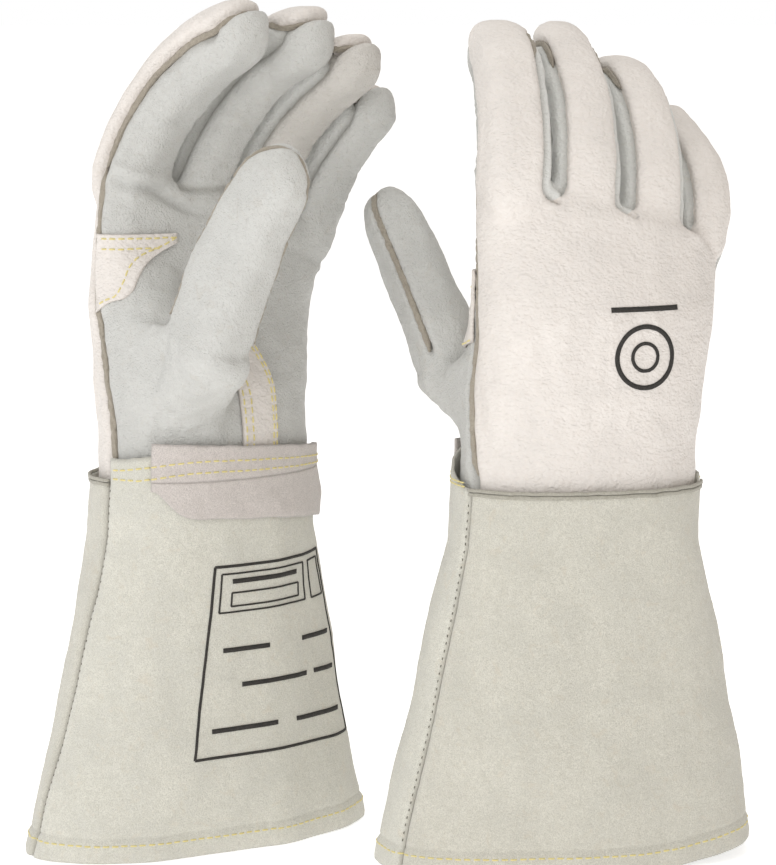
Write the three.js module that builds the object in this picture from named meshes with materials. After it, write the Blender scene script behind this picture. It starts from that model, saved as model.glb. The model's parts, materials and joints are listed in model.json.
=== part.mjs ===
// A pair of gauntlet welding gloves that stand on their cuffs, side by side, fingers up.
// The left glove turns its palm towards -Y and the right glove its back. Millimetres, +Z up.
// Each glove is modelled as a right glove whose little finger points to +X and whose palm faces +Y;
// the left glove is that shape mirrored in Y. Every piece of leather is a closed sheet.
import * as THREE from "three";

// Leather thicknesses and the clearances between neighbouring sheets
const HAND_LEATHER = 1.3;
const CUFF_LEATHER = 1.6;
const HEM_LEATHER = 3.2; // the hem is the cuff leather turned up double
const OVERLAY_CLEARANCE = 1.0; // under a piece that is sewn on top of another
const SEAM_DEGREES = 0.6; // half of the gap between two panels, as an angle round the section

// Heights
const WRIST_Z = 176; // the seam between the cuff and the back of the hand
const CUFF_TOP_Z = 191; // the palm side of the cuff laps over the hand up to here
const HAND_BOTTOM_Z = 177.5;
const HEM_HEIGHT = 11;
const KNUCKLE_Z = 311; // the finger hinges' height at x = 0
const KNUCKLE_SLOPE = -0.23; // towards the little finger the hinges lie lower

// How far the hand's sheets stay below the finger hinges, so that the fingers can bend
const BACK_BELOW_HINGE = 8;
const PALM_BELOW_HINGE = 7;
const SIDE_BELOW_HINGE = 15;

// Sections: [z, centre x, centre y, half width, half depth]
const CUFF_SECTIONS = [
  [0, 0, 0, 90, 45],
  [150, 4, 0, 59, 41],
  [205, 5, 0, 58.4, 40.5],
];
const HAND_SECTIONS = [
  [160, 5, 0, 55.2, 37.4],
  [196, 5, 0, 55.2, 37.4],
  [220, 7, -2, 56.5, 36],
  [255, 11, -6, 58, 29],
  [310, 16, 0, 61.5, 18.5],
];
const SECTION_POWER = 2.25; // superellipse exponent of the cuff and hand sections

// The knuckles arch: the hand's section bends towards the palm, most at the little finger's side
const ARCH_FROM_Z = 196;
const ARCH_FULL_Z = 290;
const ARCH_CENTRE_X = 20;
const ARCH_SLANT = 0.21;
const ARCH_BOW = 0.002;
const ARCH_RISE = 6.3;

// Angles round a section: 0 is the little-finger side, 90 the palm, 180 the thumb side, 270 the back
const ULNAR_SEAM = -10;
const PALM_EDGE = [
  [HAND_BOTTOM_Z, 100], // where the palm meets the ball of the thumb, by height
  [210, 101],
  [240, 110],
  [262, 116],
  [400, 116],
];
const CROTCH_ANGLE = 118; // the crotch patch starts here

// Fingers: hinge place, turn of the bending plane, length, half width and half depth
const FINGERS = [
  { name: "index", x: -28.5, y: -15, roll: -2, length: 103, half: [15.4, 14.6] },
  { name: "middle", x: 4.5, y: -9.5, roll: 1, length: 112, half: [15.3, 14.8] },
  { name: "ring", x: 38.5, y: -1, roll: 5, length: 104, half: [14.4, 13.8] },
  { name: "little", x: 69.5, y: 10, roll: 11, length: 80, half: [12.2, 12.2] },
];
const BEND_KNEE = 0.45; // the share of a digit's length where its middle tilt is reached
const FINGER_STATIONS = [0, 0.16, 0.34, 0.52, 0.7, 0.84, 0.93, 0.98, 1];
const FINGER_TAPER = 0.14;
const FINGER_POWER = 2.3;
const BASE_CUT_BACK = -5.5; // a finger's back starts this far below its hinge
const BASE_CUT_PALM = 0.5; // and its front this far above it
// Seams of a finger, as angles round its section
const FRONT_SEAM = 42; // the front runs from here to 180 minus here
const BACK_SEAM = 322; // the back runs from 540 minus here to here

// Thumb: the root is a round opening of the hand; the tube starts at the hinge
const THUMB_LENGTH = 90;
const THUMB_HALF = [16.8, 20.8];
const THUMB_TAPER = 0.22;
const THUMB_SEAMS = [48, 235]; // the outer piece runs between them over palm and thumb side
const THUMB_ROOT = [18, 22]; // half width and half depth of the opening
const THUMB_ROOT_BELOW_HINGE = 5.2;

// Welts: the narrow strips of raw leather that show in the seams
const WELT_WIDTH = 1.5;
const WELT_HEIGHT = 2.6;

// The two gloves differ in the way that the soft leather stands. seam is the angle where back and
// palm meet on the thumb side, at the wrist and at the knuckles; cuffTwist turns the cuff's foot;
// patch is the height of the crotch patch; a digit leans to the little-finger side and tilts by
// three angles, at its hinge, its knee and its tip.
const GLOVES = [
  {
    name: "left",
    palmSide: -1,
    x: -93,
    y: 42,
    turn: 45,
    cuffTwist: 11,
    seam: [181, 186],
    patch: [262, 291],
    index: { lean: 9, tilt: [6, 35, 84] },
    middle: { lean: 16, tilt: [4, 37, 92] },
    ring: { lean: 14.5, tilt: [5, 42, 76] },
    little: { lean: 13, tilt: [4, 46, 54] },
    thumb: { root: [-41, 57, 250], aims: [0.17, 0.44, 0.87], lean: 0, tilt: [-2, 8, 20] },
  },
  {
    name: "right",
    palmSide: 1,
    x: 82,
    y: 0,
    turn: 12,
    cuffTwist: 0,
    seam: [204, 196],
    patch: [244, 277],
    index: { lean: 4, tilt: [4, 47, 88] },
    middle: { lean: 6.5, tilt: [6, 57, 74] },
    ring: { lean: 6.5, tilt: [8, 50, 94] },
    little: { lean: 8, tilt: [10, 60, 64] },
    thumb: { root: [-46, 44, 232], aims: [-0.28, 0.37, 0.89], lean: 0, tilt: [0, 9, 18] },
  },
];

const COLOURS = {
  back: [0xe9e1da, 0.62],
  grain: [0xc6c9c6, 0.66],
  split: [0xcbc8bd, 0.92],
  flap: [0xb9b0ac, 0.95],
  welt: [0xb3a795, 0.85],
};

const radians = (degrees) => (degrees * Math.PI) / 180;
const mix = (a, b, share) => a + (b - a) * share;
const clamp = (value) => Math.min(1, Math.max(0, value));
const smooth = (value) => clamp(value) ** 2 * (3 - 2 * clamp(value));

/** The values of a table of rows [key, ...values] at a key, with straight lines between the rows. */
function between(table, key) {
  const found = table.findIndex((row) => row[0] >= key);
  const above = found < 0 ? table.length - 1 : Math.max(1, found);
  const [low, high] = [table[above - 1], table[above]];
  const share = clamp((key - low[0]) / (high[0] - low[0]));
  return low.slice(1).map((value, i) => mix(value, high[i + 1], share));
}

/** The unit superellipse point at an angle in degrees. */
function superellipse(angle, power) {
  const round = (value) => Math.sign(value) * Math.abs(value) ** (2 / power);
  return [round(Math.cos(radians(angle))), round(Math.sin(radians(angle)))];
}

/** A point of the cuff's section, depth mm inside its outer face. */
function cuffPoint(glove, angle, z, depth) {
  const [centreX, centreY, width, thick] = between(CUFF_SECTIONS, z);
  const [c, s] = superellipse(angle, SECTION_POWER);
  const [x, y] = [centreX + (width - depth) * c, centreY + (thick - depth) * s];
  const twist = radians(glove.cuffTwist * clamp(1 - z / WRIST_Z));
  return [x * Math.cos(twist) - y * Math.sin(twist), x * Math.sin(twist) + y * Math.cos(twist), z];
}

/** A point of the hand's section, which arches towards the knuckles. */
function handPoint(angle, z, depth) {
  const [centreX, centreY, width, thick] = between(HAND_SECTIONS, z);
  const [c, s] = superellipse(angle, SECTION_POWER);
  const x = centreX + (width - depth) * c;
  const off = x - ARCH_CENTRE_X;
  const full = smooth((z - ARCH_FROM_Z) / (ARCH_FULL_Z - ARCH_FROM_Z));
  const arch = full * (ARCH_SLANT * off + ARCH_BOW * off ** 2 - ARCH_RISE);
  return [x, centreY + (thick - depth) * s + arch, z];
}

/** The angle of the thumb-side seam at a height. */
const seamAngle = (glove, z) => mix(...glove.seam, clamp((z - WRIST_Z) / (KNUCKLE_Z - WRIST_Z)));

/** How high a sheet of the hand reaches at an angle: below the finger hinges, lowest at both sides. */
function topHeight(angle, belowHinge) {
  const [centreX, , width] = between(HAND_SECTIONS, KNUCKLE_Z);
  const [c] = superellipse(angle, SECTION_POWER);
  const hingeHeight = KNUCKLE_Z + KNUCKLE_SLOPE * (centreX + width * c);
  return hingeHeight - mix(belowHinge, SIDE_BELOW_HINGE, smooth((Math.abs(c) - 0.8) / 0.17));
}

/**
 * A closed sheet. at(p, q, depth) gives its outer face at depth 0 for p and q from 0 to 1;
 * thick is a number or a function of p and q.
 */
function sheet(at, across, along, thick) {
  const positions = [];
  const index = [];
  const deep = typeof thick === "function" ? thick : () => thick;
  for (const layer of [0, 1]) {
    for (let j = 0; j <= along; j++) {
      for (let i = 0; i <= across; i++) {
        const [p, q] = [i / across, j / along];
        positions.push(...at(p, q, layer * deep(p, q)));
      }
    }
  }
  const layerSize = (across + 1) * (along + 1);
  const id = (layer, i, j) => layer * layerSize + j * (across + 1) + i;
  const quad = (a, b, c, d) => index.push(a, b, c, a, c, d);
  for (let j = 0; j < along; j++) {
    for (let i = 0; i < across; i++) {
      quad(id(0, i, j), id(0, i + 1, j), id(0, i + 1, j + 1), id(0, i, j + 1));
      quad(id(1, i, j), id(1, i, j + 1), id(1, i + 1, j + 1), id(1, i + 1, j));
    }
    quad(id(0, 0, j), id(0, 0, j + 1), id(1, 0, j + 1), id(1, 0, j));
    quad(id(0, across, j), id(1, across, j), id(1, across, j + 1), id(0, across, j + 1));
  }
  for (let i = 0; i < across; i++) {
    quad(id(0, i, 0), id(1, i, 0), id(1, i + 1, 0), id(0, i + 1, 0));
    quad(id(0, i, along), id(0, i + 1, along), id(1, i + 1, along), id(1, i, along));
  }
  const geometry = new THREE.BufferGeometry();
  geometry.setAttribute("position", new THREE.Float32BufferAttribute(positions, 3));
  geometry.setIndex(index);
  return facingOut(geometry);
}

/** Turns every face round if the closed mesh is inside out. */
function facingOut(geometry) {
  const place = geometry.getAttribute("position");
  const index = geometry.getIndex().array;
  const [a, b, c] = [new THREE.Vector3(), new THREE.Vector3(), new THREE.Vector3()];
  let volume = 0;
  for (let i = 0; i < index.length; i += 3) {
    [a, b, c].forEach((corner, k) => corner.fromBufferAttribute(place, index[i + k]));
    volume += a.dot(b.cross(c));
  }
  if (volume < 0) {
    for (let i = 0; i < index.length; i += 3) [index[i], index[i + 1]] = [index[i + 1], index[i]];
  }
  return geometry;
}

/** Adds a named sheet to a group; the palm side's sign mirrors it for the left glove. */
function addSheet(group, name, finish, palmSide, [across, along], thick, at) {
  const [colour, roughness] = COLOURS[finish];
  const material = new THREE.MeshStandardMaterial({ color: colour, roughness, metalness: 0 });
  const mirrored = (p, q, depth) => {
    const [x, y, z] = at(p, q, depth);
    return [x, y * palmSide, z];
  };
  const mesh = new THREE.Mesh(sheet(mirrored, across, along, thick), material);
  mesh.name = name;
  group.add(mesh);
}

/** A welt: a narrow strip that stands up along a line of points on the leather, line(q, height). */
function addWelt(group, name, palmSide, steps, line) {
  const middle = (q, height) => new THREE.Vector3(...line(q, height));
  addSheet(group, name, "welt", palmSide, [1, steps], WELT_HEIGHT, (p, q, depth) => {
    const [from, to] = [clamp(q - 0.02), clamp(q + 0.02)];
    const along = middle(to, 0).sub(middle(from, 0)).normalize();
    const up = middle(q, 1).sub(middle(q, 0)).normalize();
    const sideways = along.cross(up).normalize();
    return middle(q, WELT_HEIGHT - depth).addScaledVector(sideways, (p - 0.5) * WELT_WIDTH).toArray();
  });
}

/** Where an arc of a given length ends that starts along +Z at one tilt and ends at another. */
function arcEnd(length, from, to) {
  const turn = to - from;
  if (Math.abs(turn) < 1e-6) return [length * Math.sin(from), length * Math.cos(from)];
  const radius = length / turn;
  return [radius * (Math.cos(from) - Math.cos(to)), radius * (Math.sin(to) - Math.sin(from))];
}

/** The centre line of a digit: y, z and tilt at a distance from its hinge. */
function centreLine({ length, tilt }, along) {
  const [first, middle, last] = tilt.map(radians);
  const knee = BEND_KNEE * length;
  const before = clamp(along / knee);
  const after = clamp((along - knee) / (length - knee));
  const [y, z] = arcEnd(before * knee, first, mix(first, middle, before));
  const [dy, dz] = arcEnd(after * (length - knee), middle, mix(middle, last, after));
  const straight = Math.min(along, 0);
  const bend = after > 0 ? mix(middle, last, after) : mix(first, middle, before);
  return [y + dy + straight * Math.sin(first), z + dz + straight * Math.cos(first), bend];
}

/** A curved tube that closes to a round tip. Local Z leaves the hinge and it bends towards +Y. */
function tubePoint(shape, angle, share, depth) {
  const { length, half, lean, taper, base } = shape;
  const [c, s] = superellipse(angle, FINGER_POWER);
  const along = mix(base(s), length, share);
  const [y, z, bend] = centreLine(shape, along);
  const tipReach = half[0] * 1.15;
  const intoTip = clamp((along - (length - tipReach)) / tipReach);
  const round = Math.sqrt(Math.max(0, 1 - intoTip ** 2)) * (1 - taper * clamp(along / length));
  const tipHole = 2.2; // the sheets stop this far from the tip's very centre
  const width = Math.max(half[0] * round, tipHole) - depth;
  const thick = Math.max(half[1] * round, tipHole) - depth;
  const palmward = thick * s;
  const backOff = depth * intoTip ** 2;
  return [
    width * c + Math.max(z, 0) * Math.tan(radians(lean)),
    y + palmward * Math.cos(bend) - backOff * Math.sin(bend),
    z - palmward * Math.sin(bend) - backOff * Math.cos(bend),
  ];
}

/** The panels of a finger or thumb. seams are the angles where each panel starts and ends. */
function addTube(group, prefix, palmSide, shape, panels) {
  const last = FINGER_STATIONS.length - 1;
  const share = (q) => {
    const step = Math.min(last - 1, Math.floor(q * last + 1e-9));
    return mix(FINGER_STATIONS[step], FINGER_STATIONS[step + 1], q * last - step);
  };
  for (const [name, finish, from, to, across] of panels) {
    addSheet(group, `${prefix}_${name}`, finish, palmSide, [across, last], HAND_LEATHER, (p, q, depth) =>
      tubePoint(shape, mix(from + SEAM_DEGREES * 3, to - SEAM_DEGREES * 3, p), share(q), depth),
    );
  }
}

function addFinger(glove, group, finger) {
  const { name, x, y, roll } = finger;
  const hinge = new THREE.Group();
  hinge.name = `${glove.name}_${name}_hinge`;
  hinge.position.set(x, y * glove.palmSide, KNUCKLE_Z + KNUCKLE_SLOPE * x);
  hinge.rotation.z = radians(roll * glove.palmSide);
  group.add(hinge);
  const middleCut = (BASE_CUT_BACK + BASE_CUT_PALM) / 2;
  const base = (s) => middleCut + s * (BASE_CUT_PALM - middleCut);
  const shape = { ...finger, ...glove[name], taper: FINGER_TAPER, base };
  const front = FRONT_SEAM;
  const back = BACK_SEAM;
  const seam = glove.seam[1];
  const prefix = `${glove.name}_${name}`;
  const panels = {
    index: [
      ["back", "back", seam, back, 5],
      ["front", "grain", front, seam, 5],
      ["fourchette", "grain", back - 360, front, 3],
    ],
    little: [
      ["back", "back", 540 - back, 360 + ULNAR_SEAM, 5],
      ["front", "grain", ULNAR_SEAM, 180 - front, 5],
      ["fourchette", "grain", 180 - front, 540 - back, 3],
    ],
  }[name] ?? [
    ["back", "back", 540 - back, back, 4],
    ["front", "grain", front, 180 - front, 4],
    ["outer_fourchette", "grain", back - 360, front, 3],
    ["inner_fourchette", "grain", 180 - front, 540 - back, 3],
  ];
  addTube(hinge, prefix, glove.palmSide, shape, panels);
  if (name === "index") {
    addWelt(hinge, `${prefix}_welt`, glove.palmSide, 8, (q, height) =>
      tubePoint(shape, seam, mix(0.02, 0.9, q), -0.6 - height),
    );
  }
}

/** Unit vectors of the thumb: across to the little-finger side, towards the palm, and along it. */
function thumbAxes(glove) {
  const along = new THREE.Vector3(...glove.thumb.aims).normalize();
  const palmward = new THREE.Vector3(0, 1, 0).addScaledVector(along, -along.y).normalize();
  const across = new THREE.Vector3().crossVectors(palmward, along);
  return [across, palmward, along];
}

/** A point of the round opening that the thumb leaves the hand by. */
function rootPoint(glove, angle, depth) {
  const [across, palmward, along] = thumbAxes(glove);
  const [width, thick] = THUMB_ROOT;
  return new THREE.Vector3(...glove.thumb.root)
    .addScaledVector(along, -THUMB_ROOT_BELOW_HINGE)
    .addScaledVector(across, (width - depth) * Math.cos(radians(angle)))
    .addScaledVector(palmward, (thick - depth) * Math.sin(radians(angle)))
    .toArray();
}

function addThumb(glove, group) {
  const [across, palmward, along] = thumbAxes(glove);
  const hinge = new THREE.Group();
  hinge.name = `${glove.name}_thumb_hinge`;
  for (const axis of [across, palmward, along]) axis.y *= glove.palmSide;
  palmward.multiplyScalar(glove.palmSide); // keeps the frame right-handed; the sheets are mirrored instead
  hinge.quaternion.setFromRotationMatrix(new THREE.Matrix4().makeBasis(across, palmward, along));
  const [x, y, z] = glove.thumb.root;
  hinge.position.set(x, y * glove.palmSide, z);
  group.add(hinge);
  const { lean, tilt } = glove.thumb;
  const shape = { length: THUMB_LENGTH, half: THUMB_HALF, taper: THUMB_TAPER, lean, tilt, base: () => 0 };
  const prefix = `${glove.name}_thumb`;
  const [palmSeam, backSeam] = THUMB_SEAMS;
  addTube(hinge, prefix, glove.palmSide, shape, [
    ["outer", "grain", palmSeam, backSeam, 7],
    ["inner", "grain", backSeam - 360, palmSeam, 6],
  ]);
  addWelt(hinge, `${prefix}_welt`, glove.palmSide, 8, (q, height) =>
    tubePoint(shape, backSeam, mix(0.02, 0.9, q), -0.6 - height),
  );
}

/** Straight mix of two points. */
const mixPoints = (a, b, share) => a.map((value, i) => mix(value, b[i], share));

/** The hand's own panels, from the wrist to the knuckles. */
function addHand(glove, group) {
  const { name, palmSide } = glove;
  const add = (piece, finish, grid, at) =>
    addSheet(group, `${name}_${piece}`, finish, palmSide, grid, HAND_LEATHER, at);
  const seam = (z, side) => seamAngle(glove, z) + side * SEAM_DEGREES;
  const [patchBottom, patchTop] = glove.patch;

  add("hand_back", "back", [16, 6], (p, q, depth) => {
    const edge = 360 + ULNAR_SEAM - SEAM_DEGREES;
    const top = topHeight(mix(seam(KNUCKLE_Z, 1), edge, p), BACK_BELOW_HINGE);
    const z = mix(HAND_BOTTOM_Z, top, q);
    return handPoint(mix(seam(z, 1), edge, p), z, depth);
  });

  // The palm reaches the thumb side only above the crotch patch
  const palmEdge = (z) => between(PALM_EDGE, z)[0];
  const palmRows = [HAND_BOTTOM_Z, 205, 232, patchBottom, patchTop].map((z) => [z, palmEdge(z)]);
  palmRows.push([patchTop + 1.5, seam(patchTop, -1)], [KNUCKLE_Z, seam(KNUCKLE_Z, -1)]);
  const rows = palmRows.length - 1;
  add("palm", "grain", [16, rows], (p, q, depth) => {
    const row = Math.min(rows - 1, Math.floor(q * rows + 1e-9));
    const step = q * rows - row;
    const angle = mix(ULNAR_SEAM + SEAM_DEGREES, mix(palmRows[row][1], palmRows[row + 1][1], step), p);
    const top = topHeight(angle, PALM_BELOW_HINGE);
    const upper = row === rows - 1 ? top : palmRows[row + 1][0];
    return handPoint(angle, Math.min(mix(palmRows[row][0], upper, step), top), depth);
  });

  // The ball of the thumb bulges from the hand's section to the round thumb root
  const angleAt = (p, z) => mix(palmEdge(z) + 2 * SEAM_DEGREES, seam(z, -2), p);
  const rim = (p, depth) => {
    const corner = (side) => handPoint(angleAt(side, patchBottom - 4), patchBottom - 4, depth);
    const [onto, off] = [0.16, 0.74];
    const [first, last] = [18, THUMB_SEAMS[1] + 3];
    if (p < onto) return mixPoints(corner(0), rootPoint(glove, first, depth), p / onto);
    if (p > off) return mixPoints(rootPoint(glove, last, depth), corner(1), (p - off) / (1 - off));
    return rootPoint(glove, mix(first, last, (p - onto) / (off - onto)), depth);
  };
  add("thumb_base", "grain", [14, 7], (p, q, depth) => {
    const edge = rim(p, depth);
    const under = handPoint(angleAt(p, edge[2]), edge[2], depth);
    const z = mix(HAND_BOTTOM_Z, edge[2], q);
    const bulgeFrom = CUFF_TOP_Z + 5;
    const share = smooth((z - bulgeFrom) / (edge[2] - bulgeFrom));
    const [x, y] = handPoint(angleAt(p, z), z, depth);
    return [x + share * (edge[0] - under[0]), y + share * (edge[1] - under[1]), z];
  });

  // The crotch patch webs the thumb to the index side
  add("thumb_crotch_patch", "back", [7, 4], (p, q, depth) => {
    const z = mix(patchBottom, patchTop, q);
    const angle = mix(CROTCH_ANGLE, seam(z, -2), p);
    const root = rootPoint(glove, mix(360, THUMB_SEAMS[1] + 12, p), depth);
    const reach = 0.82 * Math.sin(Math.PI * mix(0.06, 1, p));
    const lowEdge = mixPoints(handPoint(angle, patchBottom, depth), root, reach);
    return mixPoints(lowEdge, handPoint(angle, z, depth), smooth(q * 1.4));
  });
  addWelt(group, `${name}_side_welt`, palmSide, 8, (q, height) => {
    const z = mix(CUFF_TOP_Z + 2, topHeight(glove.seam[1], SIDE_BELOW_HINGE) - 2, q);
    return handPoint(seam(z, 0), z, -0.6 - height);
  });
}

/** The white strap that covers the palm's seam beside the ball of the thumb. */
function addPalmStrap(glove, group) {
  const [bottom, top, middleAngle, halfAngle] = [CUFF_TOP_Z + 2.5, 236, 89, 9.5];
  addSheet(group, `${glove.name}_palm_strap`, "back", glove.palmSide, [4, 5], HAND_LEATHER, (p, q, depth) =>
    handPoint(
      middleAngle + mix(-halfAngle, halfAngle, p),
      mix(bottom, top, q),
      depth - OVERLAY_CLEARANCE - HAND_LEATHER,
    ),
  );
}

/** The flared cuff: a back and a palm panel with a turned hem, and the narrow welt at the back's wrist. */
function addCuff(glove, group) {
  const { name, palmSide } = glove;
  const hemmed = (top) => (p, q) => (q * top < HEM_HEIGHT ? HEM_LEATHER : CUFF_LEATHER);
  // The first rows of the grid are the hem
  const height = (q, top) => (q < 0.15 ? (q / 0.15) * HEM_HEIGHT : mix(HEM_HEIGHT, top, (q - 0.15) / 0.85));
  const panel = (piece, from, to, top) =>
    addSheet(group, `${name}_${piece}`, "split", palmSide, [14, 7], hemmed(top), (p, q, depth) =>
      cuffPoint(glove, mix(from + SEAM_DEGREES, to - SEAM_DEGREES, p), height(q, top), depth),
    );
  panel("cuff_back", glove.seam[0], 360 + ULNAR_SEAM, WRIST_Z);
  panel("cuff_palm", ULNAR_SEAM, glove.seam[0], CUFF_TOP_Z);
  addSheet(group, `${name}_wrist_welt`, "welt", palmSide, [14, 1], WELT_WIDTH, (p, q, depth) => {
    const angle = mix(glove.seam[0] + 2, 358 + ULNAR_SEAM, p);
    return cuffPoint(glove, angle, WRIST_Z + mix(-2, 2.5, q), depth - WELT_WIDTH - 0.4);
  });
}

/** The suede flap over the wrist: its sewn top edge, and the free part that lifts. */
function addFlap(glove, group) {
  const { name, palmSide } = glove;
  const [from, to] = [22, 150];
  const [sewnTop, fold, lowest] = [193, 177, 156];
  const lift = OVERLAY_CLEARANCE + CUFF_LEATHER;
  addSheet(group, `${name}_flap_sewn_edge`, "flap", palmSide, [9, 1], CUFF_LEATHER, (p, q, depth) =>
    cuffPoint(glove, mix(from, to, p), mix(fold + 1.2, sewnTop, q), depth - lift),
  );
  const hinge = new THREE.Group();
  hinge.name = `${name}_flap_hinge`;
  const [, , , thick] = between(CUFF_SECTIONS, fold);
  hinge.position.set(0, (thick + lift) * palmSide, fold);
  group.add(hinge);
  addSheet(hinge, `${name}_wrist_flap`, "flap", palmSide, [9, 3], CUFF_LEATHER, (p, q, depth) => {
    const bottom = mix(lowest, fold - 6, smooth(Math.abs(p - 0.5) * 5 - 1.7));
    const [x, y, z] = cuffPoint(glove, mix(from, to, p), mix(fold, bottom, q), depth - lift);
    return [x, y - (thick + lift), z - fold];
  });
}

function buildGlove(glove) {
  const group = new THREE.Group();
  group.name = `${glove.name}_glove`;
  group.position.set(glove.x, glove.y, 0);
  group.rotation.z = radians(glove.turn);
  addCuff(glove, group);
  addFlap(glove, group);
  addHand(glove, group);
  addPalmStrap(glove, group);
  for (const finger of FINGERS) addFinger(glove, group, finger);
  addThumb(glove, group);
  return group;
}

const pair = new THREE.Group();
for (const glove of GLOVES) pair.add(buildGlove(glove));

// The origin is the middle of the pair's footprint box, on the surface that it stands on
pair.updateMatrixWorld(true);
const middle = new THREE.Box3().setFromObject(pair, true).getCenter(new THREE.Vector3());
for (const glove of pair.children) {
  glove.position.x -= middle.x;
  glove.position.y -= middle.y;
}

export default pair;
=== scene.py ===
import json
import math

import bpy
import numpy as np
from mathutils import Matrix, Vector
from mathutils.bvhtree import BVHTree

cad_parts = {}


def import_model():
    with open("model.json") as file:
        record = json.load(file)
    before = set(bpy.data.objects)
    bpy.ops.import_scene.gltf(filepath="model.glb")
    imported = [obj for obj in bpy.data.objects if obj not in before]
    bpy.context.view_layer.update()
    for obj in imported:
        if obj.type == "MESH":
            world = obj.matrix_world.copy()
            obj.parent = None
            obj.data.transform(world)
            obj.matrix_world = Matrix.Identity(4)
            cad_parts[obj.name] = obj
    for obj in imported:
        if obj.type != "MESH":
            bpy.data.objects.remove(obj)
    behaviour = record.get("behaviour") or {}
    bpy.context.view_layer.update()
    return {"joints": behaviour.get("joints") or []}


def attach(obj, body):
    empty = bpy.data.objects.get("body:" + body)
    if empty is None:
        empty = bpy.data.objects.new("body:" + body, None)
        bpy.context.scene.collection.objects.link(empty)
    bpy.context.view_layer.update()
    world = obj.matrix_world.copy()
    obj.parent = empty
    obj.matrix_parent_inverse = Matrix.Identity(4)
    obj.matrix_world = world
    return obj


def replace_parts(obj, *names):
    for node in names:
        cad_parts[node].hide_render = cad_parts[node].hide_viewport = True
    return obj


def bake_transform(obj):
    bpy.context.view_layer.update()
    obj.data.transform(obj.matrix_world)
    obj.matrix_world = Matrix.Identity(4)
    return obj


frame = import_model()
rng = np.random.default_rng(7)
MM = 0.001

# ---------------------------------------------------------------------------
# The gloves' own sizes, in millimetres and degrees, in a right glove's frame:
# +X to the little finger, +Y out of the palm, +Z to the fingertips
# ---------------------------------------------------------------------------
HAND_LEATHER, CUFF_LEATHER = 1.3, 1.6
WRIST_Z, CUFF_TOP_Z, HEM_HEIGHT = 176.0, 191.0, 11.0
KNUCKLE_Z, KNUCKLE_SLOPE = 311.0, -0.23
ULNAR_SEAM = -10.0
SECTION_POWER, DIGIT_POWER = 2.25, 2.7
# height, the middle's X and Y, half the width, half the thickness
CUFF_SECTIONS = np.array([[0, 0, 0, 90, 45], [150, 4, 0, 59, 41], [205, 5, 0, 58.4, 40.5]], float)
HAND_SECTIONS = np.array([
    [160, 5, 0, 55.2, 37.4], [196, 5, 0, 55.2, 37.4], [220, 7, -2, 56.5, 36],
    [255, 11, -6, 58, 29], [310, 16, 0, 61.5, 18.5],
], float)
# height, angle of the seam between the palm and the ball of the thumb
PALM_EDGE = np.array([[177.5, 100], [210, 101], [240, 110], [262, 116], [400, 116]], float)
CROTCH_ANGLE = 118.0
FINGERS = {
    "index": dict(x=-28.5, y=-15, roll=-2),
    "middle": dict(x=4.5, y=-9.5, roll=1),
    "ring": dict(x=38.5, y=-1, roll=5),
    "little": dict(x=69.5, y=10, roll=11),
}
FINGER_TAPER, THUMB_TAPER = 0.14, 0.22
THUMB_SEAMS = (48.0, 235.0)
# half the width and half the thickness of the thumb's root, and how deep it lies in the hand
THUMB_ROOT, THUMB_ROOT_DEPTH = (18.0, 22.0), 5.2
WAIST_Z = 196.0          # the hand opens out above this height
BESIDE_SEAM = 1.2        # how many degrees before the thumb-side seam the ball and the web end
TIP_REACH = 1.15         # the length of a digit's round tip, as a share of half its width
TIP_WELT_START = 0.56    # where the welt over a fingertip begins, as a share of the finger
# Every digit has its lean and its tilts at root, middle and tip. Its shape is its shift in X and Y, half its
# width and half its thickness, and its length.
GLOVES = {
    "left": dict(
        side=-1, turn=45, twist=11, seam=(181, 186), patch=(262, 291), cuff_ends=(187, 180.5), hem_rise=2.0,
        index=(12, (11, 43, 80)), middle=(17, (6, 38, 88)),
        ring=(14.5, (5, 42, 76)), little=(12.5, (2, 40, 52)),
        root=(-41, 57, 250), aims=(0.08, 0.36, 0.93), thumb=(0, (-2, 8, 20)),
        patch_low=((0, 0.2, 0.6, 0.8, 0.9, 1), (0.85, 0.66, 0.46, 0.31, 0.15, -0.28)),
        shape=dict(
            index=(0, 1.5, (15.6, 18.2), 108), middle=(0, 1.0, (15.3, 17.8), 113),
            ring=(0, 0.5, (14.6, 16.4), 105), little=(-1, 0, (12.4, 14.2), 76),
            thumb=(0, 0, (16.8, 20.8), 96),
        ),
    ),
    "right": dict(
        side=1, turn=12, twist=0, seam=(203, 166), patch=(244, 277), cuff_ends=(177, 180), hem_rise=7.0,
        index=(4, (4, 47, 88)), middle=(6.5, (6, 57, 74)), ring=(6.5, (8, 50, 94)), little=(8, (10, 60, 64)),
        root=(-46, 44, 232), aims=(-0.28, 0.37, 0.89), thumb=(0, (0, 9, 18)),
        patch_low=((0, 1), (0.02, 0.02)),
        shape=dict(
            index=(-1.3, 0, (16.3, 17.0), 100), middle=(0, 0, (15.3, 17.0), 116),
            ring=(0, 0, (14.6, 16.0), 105), little=(-2.5, 0, (12.1, 14.0), 77),
            thumb=(0, 0, (16.8, 20.8), 92),
        ),
    ),
}
VOXEL = 1.5
# a digit's own skin starts this far above its hinge; the length of the stretch that goes with its bend
START = dict(index=3.0, middle=3.0, ring=3.0, little=3.0, thumb=1.0)
BLEND_LENGTH = 20.0
FOURCHETTE_SEAM = 218.0    # the seam between a finger's back and its inner side wall
TIP_LEAN = 0.75            # how far the seam over a fingertip lies behind its middle
WRIST_SLOPE = 10.5         # how much lower the wrist's sewn edge is at the little finger's side
FLAP_ENDS, FLAP_FOLD_Z = (22.0, 150.0), 177.0
FLAP_LIFT = 2.1            # the flap's outer face over the cuff's
# the stretch that goes with the flap's bend, downwards and outwards
FLAP_BEND = np.array([0.0, 9.0, -9.0])


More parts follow.
